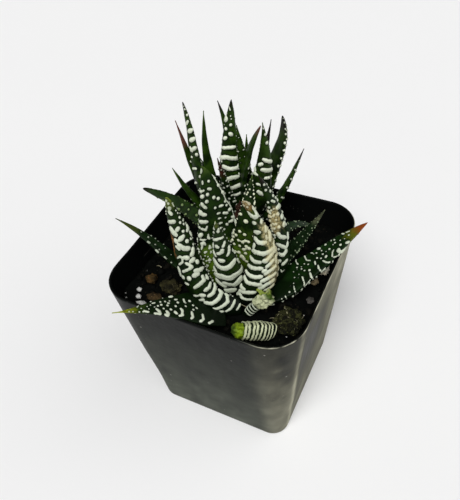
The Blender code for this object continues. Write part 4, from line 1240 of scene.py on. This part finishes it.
def add_stems():
    """Two short stems, ringed by the scars of old leaves."""
    rings, count = 60, 40
    for where, (x, y) in STEMS.items():
        points = []
        for ring in range(rings):
            z = STEM_FOOT + STEM_RISE * ring / (rings - 1)
            scale = 1.0 - 0.1 * smoothstep(z, 58, 64) - 0.35 * smoothstep(z, 64.5, 66.5)
            for angle in np.arange(count) * math.tau / count:
                way = math.cos(angle), math.sin(angle)
                scar = 0.03 * math.sin(z * 3.3 + angle) + 0.03 * waver(way[0] * 1.5, way[1] * 1.5, z * 1.5)
                radius = STEM_RADIUS * scale * (1 + scar)
                points.append((x + radius * way[0], y + radius * way[1], z))
        points += [(x, y, STEM_FOOT), (x, y, STEM_FOOT + STEM_RISE)]
        node = f"stem_{where}"
        look = grainy_material(node + "_bark", *STEM_COLOURS, 0.1, 500.0, 2000.0, 0.8)
        add_piece(node + "_ringed", points, closed_tube_faces(rings, count), look, "stem", [node])


# Loose pieces: node, seed, roughness and facets of the lump, slot, dark and pale colour, flecks
CHIPS = [
    ("bark_olive", 3, 0.35, 0.25, "bark", (0.006, 0.0055, 0.002), (0.05, 0.045, 0.016), (0.12, 0.1, 0.05)),
    ("bark_brown", 4, 0.3, 0.2, "bark", (0.005, 0.004, 0.002), (0.06, 0.038, 0.014), (0.18, 0.11, 0.05)),
    ("bark_orange", 5, 0.35, 0.2, "bark", (0.012, 0.009, 0.003), (0.085, 0.048, 0.014), (0.32, 0.1, 0.045)),
    ("perlite_large", 6, 0.22, 0.12, "perlite", None, None, None),
    ("perlite_small", 7, 0.22, 0.12, "perlite", None, None, None),
    ("perlite_mid", 8, 0.22, 0.12, "perlite", None, None, None),
    # Painted light in part: the cream stone is made near the palest a surface can be, so that it looks lit in
    # a leaf's shadow
    ("stone_cream", 9, 0.25, 0.3, "stone", (0.66, 0.6, 0.42), (0.93, 0.9, 0.74), (0.95, 0.93, 0.82)),
    ("stone_tan", 10, 0.25, 0.25, "stone", (0.12, 0.09, 0.05), (0.4, 0.32, 0.18), (0.6, 0.5, 0.36)),
    ("stone_grey", 11, 0.2, 0.25, "stone", (0.03, 0.028, 0.024), (0.14, 0.13, 0.115), (0.25, 0.24, 0.21)),
]
PERLITE_FLECK = (0.9, 0.9, 0.88)
MOSS_COLOURS = (0.004, 0.004, 0.0015), (0.034, 0.036, 0.010), (0.20, 0.20, 0.09)

# Straight pale strands from end to end: two fibres on the moss, and one thin hair before the leaves
MOSS_FIBRES = (((24.1, -13.6, 63.8), (26.9, -18.0, 64.3)), ((28.2, -18.6, 64.0), (30.0, -20.6, 62.6)))
PALE_HAIR = ((7.6, -17.6, 64.2), (13.6, -17.4, 62.6))

# Places on the soil: root hairs with their lengths, and white grains
ROOT_HAIRS = (-12, -26, 4), (10, 29, 5), (-20, 28, 6), (-28, -10, 4)
WHITE_GRAINS = [
    (-30.1, -27.0), (-30.1, -13.4), (-31.8, -17.5), (-30.8, -16.0), (-31.3, -25.4), (29.6, -11.6),
    (27.5, -21.5), (-8, 29), (-27, 18),
]


def chip_lump(node, seed, rough, facets):
    """A fine rough lump that fills the node's box."""
    low, high = (np.array(c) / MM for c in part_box(node))
    points, faces = lump((0, 0, 0), (1, 1, 1), 0, seed, rough, 5, 0.42, facets)
    points = np.array(points)
    points = (points - points.min(axis=0)) / (points.max(axis=0) - points.min(axis=0))
    return low + points * (high - low), faces


def add_chips(slots):
    chips = bpy.context.scene.haworthia_chip
    for node, seed, rough, facets, slot, dark, pale, fleck in CHIPS:
        if slot not in slots:
            continue
        points, faces = chip_lump(node, seed, rough, facets)
        if slot == "perlite":
            dark, pale, fleck = darker(chips.perlite, 0.55), chips.perlite, PERLITE_FLECK
        look = grainy_material(node + "_rough", dark, pale, fleck, 0.12, 420.0, 2400.0, 0.95, 0.25)
        add_piece(node + "_rough", points, faces, look, slot, [node])


def straight(start, end, rise=0.0):
    """Nine points from start to end, arched by a rise."""
    t = np.linspace(0, 1, 9)[:, None]
    return np.array(start) * (1 - t) + np.array(end) * t + (0, 0, rise) * np.sin(t * math.pi)


def fibre(rng, start, length, radius):
    """A short bent strand that lies almost flat."""
    way, bend = rng.uniform(0, math.tau), rng.uniform(-1.2, 1.2)
    t = np.linspace(0, 1, 9)
    heading = way + bend * t
    path = np.stack([t * np.cos(heading), t * np.sin(heading), 0.12 * np.sin(t * 3.1) + 0.03], -1)
    return strand(np.array(start) + length * path, radius)


def add_moss():
    """The clump at the front corner: a rough mound of moss and bark dust, with short fibres on it."""
    rng = np.random.default_rng(MOSS_SEED)
    mound = chip_lump("moss_clump", 13, 0.5, 0.3)
    low, high = (np.array(c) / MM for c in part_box("moss_clump"))
    middle, reach = (low + high) / 2, (high - low) / 2
    shapes, tones = [mound], [0.0]
    for k in range(150):
        angle, out = rng.uniform(0, math.tau), rng.uniform(0, 0.85) ** 0.5
        x, y = middle[0] + reach[0] * out * math.cos(angle), middle[1] + reach[1] * out * math.sin(angle)
        z = low[2] + (high[2] - low[2]) * (0.25 + 0.7 * math.sqrt(max(0, 1 - out ** 2)))
        size = rng.uniform(0.4, 1.5)
        shape = (size * 1.3, size, size * 0.8)
        shapes.append(lump((x, y, z), shape, rng.uniform(0, 180), k * 0.7, 0.5, 2, 0.5))
        tones.append(rng.choice([-0.15, 0.05, 0.25], p=[0.5, 0.35, 0.15]))
    points, faces, counts = joined(shapes)
    look = grainy_material("moss_bits", *MOSS_COLOURS, 0.10, 1500.0, 3000.0)
    add_piece("moss_mound", points, faces, look, "moss", ["moss_clump"], {"tone": np.repeat(tones, counts)})
    shapes = [strand(straight(*ends, 0.35), 0.16) for ends in MOSS_FIBRES]
    for _ in range(26):
        x, y = middle[:2] + rng.uniform(-0.75, 0.75, 2) * reach[:2]
        drop = 1.3 * math.dist((x, y), middle[:2]) / reach[0]
        shapes.append(fibre(rng, (x, y, high[2] - 0.4 - drop), rng.uniform(1.0, 2.6), 0.06))
    add_piece("moss_fibres", *joined(shapes)[:2], fibre_material("moss_fibre", 0.4), "moss")


def add_litter():
    """Pale root hairs lying on the soil, and a few white grains."""
    rng = np.random.default_rng(LITTER_SEED)
    hairs = [fibre(rng, (x, y, soil_height(x, y) + 0.5), length, 0.10) for x, y, length in ROOT_HAIRS]
    hairs.append(strand(straight(*PALE_HAIR), 0.09))
    add_piece("root_hairs", *joined(hairs)[:2], fibre_material("root_hair", 0.5), "bark")
    grains = []
    for k, (x, y) in enumerate(WHITE_GRAINS):
        size = rng.uniform(0.3, 0.6)
        place = (x, y, soil_height(x, y) + 0.35 * size)
        grains.append(lump(place, (size * 1.2, size, size), 0, 50 + k, 0.4, 2, 0.5))
    pale = bpy.context.scene.haworthia_chip.perlite
    look = grainy_material("white_grain", darker(pale, 0.5), pale, PERLITE_FLECK, 0.2, 500.0, 2400.0)
    add_piece("white_grains", *joined(grains)[:2], look, "perlite")


# Camera, floor and lights

# The camera: azimuth, elevation and roll in degrees, what it looks at and from how far in metres, and
# its lens and sensor in millimetres
VIEW_ANGLES, VIEW_TARGET, VIEW_DISTANCE = (30.73, 44.64, -6.69), (-0.0010, -0.0019, 0.0701), 0.1865
LENS, SENSOR = 39.1, 36


def add_camera(scene):
    azimuth, elevation, roll = (math.radians(angle) for angle in VIEW_ANGLES)
    level = Vector((math.cos(azimuth), math.sin(azimuth), 0))
    flat = Vector((math.sin(azimuth), -math.cos(azimuth), 0))
    back = flat * math.cos(elevation) + Vector((0, 0, math.sin(elevation)))
    raised = back.cross(level)
    right = math.cos(roll) * level + math.sin(roll) * raised
    up = -math.sin(roll) * level + math.cos(roll) * raised
    camera = bpy.data.objects.new("camera", bpy.data.cameras.new("camera"))
    camera.data.lens, camera.data.sensor_width, camera.data.clip_start = LENS, SENSOR, 0.005
    placed = Matrix((right, up, back)).transposed().to_4x4()
    placed.translation = Vector(VIEW_TARGET) + back * VIEW_DISTANCE
    camera.matrix_world = placed
    scene.collection.objects.link(camera)
    scene.camera = camera


def add_floor(scene):
    stage = scene.haworthia_stage
    shape = bmesh.new()
    bmesh.ops.create_grid(shape, x_segments=24, y_segments=24, size=1.6)
    mesh = bpy.data.meshes.new("floor")
    shape.to_mesh(mesh)
    shape.free()
    floor = bpy.data.objects.new("floor", mesh)
    made, g, shader = new_material("floor_paper")
    tint = g.mix(g.noise(g.place(), 9.0), rgba(stage.floor), rgba(darker(stage.floor, 0.985)))
    dull = g.between(g.noise(g.place(), 40.0), 0.85, 0.95)
    finish_material(g, shader, tint, dull, g.noise(g.place(), 900.0), 0.02 * MM, 0.1)
    mesh.materials.append(made)
    scene.collection.objects.link(floor)


def add_lights(scene):
    """Even light from all round that the camera sees as the backdrop, and two wide soft lamps."""
    stage = scene.haworthia_stage
    world = bpy.data.worlds.new("room")
    world.use_nodes = True
    g = Graph(world.node_tree)
    seen = g.put("ShaderNodeLightPath").outputs["Is Camera Ray"]
    light = g.mix(seen, rgba((stage.room,) * 3), rgba(stage.backdrop))
    world.node_tree.links.new(light, world.node_tree.nodes["Background"].inputs["Color"])
    scene.world = world
    lamps = ("key", (0.10, -0.62, 1.0), 34, stage.key), ("fill", (0.8, 0.1, 0.9), 70, stage.fill)
    for name, way, angle, strength in lamps:
        lamp = bpy.data.objects.new(name, bpy.data.lights.new(name, "SUN"))
        lamp.data.energy, lamp.data.angle = strength, math.radians(angle)
        lamp.location = way
        lamp.rotation_euler = (-Vector(way)).to_track_quat("-Z", "Y").to_euler()
        scene.collection.objects.link(lamp)
    scene.view_settings.view_transform = "Standard"


def add_leaves(where):
    for k, row in enumerate(LEAVES[where]):
        node = f"pup_{row[0]}" if where == "pup" else f"leaf_{where}_{row[0]}"
        if not row[0].startswith("dry"):
            add_leaf(node, row, 100 * len(where) + k)


# Operators, one for each piece or group of like pieces


class HAWORTHIA_OT_stage(bpy.types.Operator):
    """Adds the camera, the floor and the lights"""

    bl_idname = "haworthia.stage"
    bl_label = "Stage"

    def execute(self, context):
        add_camera(context.scene)
        add_floor(context.scene)
        add_lights(context.scene)
        return {"FINISHED"}


class HAWORTHIA_OT_pot(bpy.types.Operator):
    """Adds the thin square pot with its lip and drain holes"""

    bl_idname = "haworthia.pot"
    bl_label = "Pot"

    def execute(self, context):
        add_pot()
        return {"FINISHED"}


class HAWORTHIA_OT_soil(bpy.types.Operator):
    """Adds the bed of soil and its loose crumbs"""

    bl_idname = "haworthia.soil"
    bl_label = "Soil"

    def execute(self, context):
        add_soil()
        return {"FINISHED"}


class HAWORTHIA_OT_stems(bpy.types.Operator):
    """Adds the two short stems"""

    bl_idname = "haworthia.stems"
    bl_label = "Stems"

    def execute(self, context):
        add_stems()
        return {"FINISHED"}


class HAWORTHIA_OT_front_leaves(bpy.types.Operator):
    """Adds the leaves of the large front rosette"""

    bl_idname = "haworthia.front_leaves"
    bl_label = "Front rosette"

    def execute(self, context):
        add_leaves("front")
        return {"FINISHED"}


class HAWORTHIA_OT_back_leaves(bpy.types.Operator):
    """Adds the leaves of the back rosette"""

    bl_idname = "haworthia.back_leaves"
    bl_label = "Back rosette"

    def execute(self, context):
        add_leaves("back")
        return {"FINISHED"}


class HAWORTHIA_OT_pups(bpy.types.Operator):
    """Adds the two stubby young shoots"""

    bl_idname = "haworthia.pups"
    bl_label = "Pups"

    def execute(self, context):
        add_leaves("pup")
        return {"FINISHED"}


class HAWORTHIA_OT_dry_leaves(bpy.types.Operator):
    """Adds the dead, curled leaves"""

    bl_idname = "haworthia.dry_leaves"
    bl_label = "Dry leaves"

    def execute(self, context):
        for where in ("front", "back"):
            for k, row in enumerate(LEAVES[where]):
                if row[0].startswith("dry"):
                    add_dry_leaf(f"leaf_{where}_{row[0]}", row, DRY_LEAF_SEED + k)
        return {"FINISHED"}


class HAWORTHIA_OT_bark(bpy.types.Operator):
    """Adds the bark chips on the soil"""

    bl_idname = "haworthia.bark"
    bl_label = "Bark"

    def execute(self, context):
        add_chips(("bark",))
        return {"FINISHED"}


class HAWORTHIA_OT_stones(bpy.types.Operator):
    """Adds the perlite and the small stones"""

    bl_idname = "haworthia.stones"
    bl_label = "Perlite and stones"

    def execute(self, context):
        add_chips(("perlite", "stone"))
        return {"FINISHED"}


class HAWORTHIA_OT_moss(bpy.types.Operator):
    """Adds the mossy clump at the front corner"""

    bl_idname = "haworthia.moss"
    bl_label = "Moss"

    def execute(self, context):
        add_moss()
        return {"FINISHED"}


class HAWORTHIA_OT_litter(bpy.types.Operator):
    """Adds root hairs and white grains on the soil"""

    bl_idname = "haworthia.litter"
    bl_label = "Litter"

    def execute(self, context):
        add_litter()
        return {"FINISHED"}


SETTINGS = {
    "haworthia_pot": HaworthiaPotSettings, "haworthia_soil": HaworthiaSoilSettings,
    "haworthia_leaf": HaworthiaLeafSettings, "haworthia_chip": HaworthiaChipSettings,
    "haworthia_stage": HaworthiaStageSettings,
}
OPERATORS = (
    HAWORTHIA_OT_stage, HAWORTHIA_OT_pot, HAWORTHIA_OT_soil, HAWORTHIA_OT_stems, HAWORTHIA_OT_front_leaves,
    HAWORTHIA_OT_back_leaves, HAWORTHIA_OT_pups, HAWORTHIA_OT_dry_leaves, HAWORTHIA_OT_bark,
    HAWORTHIA_OT_stones, HAWORTHIA_OT_moss, HAWORTHIA_OT_litter,
)


class HAWORTHIA_PT_panel(bpy.types.Panel):
    bl_label = "Potted haworthia"
    bl_space_type = "VIEW_3D"
    bl_region_type = "UI"
    bl_category = "Haworthia"

    def draw(self, context):
        for name, group in SETTINGS.items():
            box = self.layout.box()
            for key in group.__annotations__:
                box.prop(getattr(context.scene, name), key)
        for operator in OPERATORS:
            self.layout.operator(operator.bl_idname)


def register():
    for group in SETTINGS.values():
        bpy.utils.register_class(group)
    for name, group in SETTINGS.items():
        setattr(bpy.types.Scene, name, PointerProperty(type=group))
    for operator in OPERATORS:
        bpy.utils.register_class(operator)
    bpy.utils.register_class(HAWORTHIA_PT_panel)


def unregister():
    bpy.utils.unregister_class(HAWORTHIA_PT_panel)
    for operator in reversed(OPERATORS):
        bpy.utils.unregister_class(operator)
    for name in SETTINGS:
        delattr(bpy.types.Scene, name)
    for group in reversed(list(SETTINGS.values())):
        bpy.utils.unregister_class(group)


def main():
    register()
    for operator in OPERATORS:
        group, name = operator.bl_idname.split(".")
        getattr(getattr(bpy.ops, group), name)()


if __name__ == "__main__":
    main()
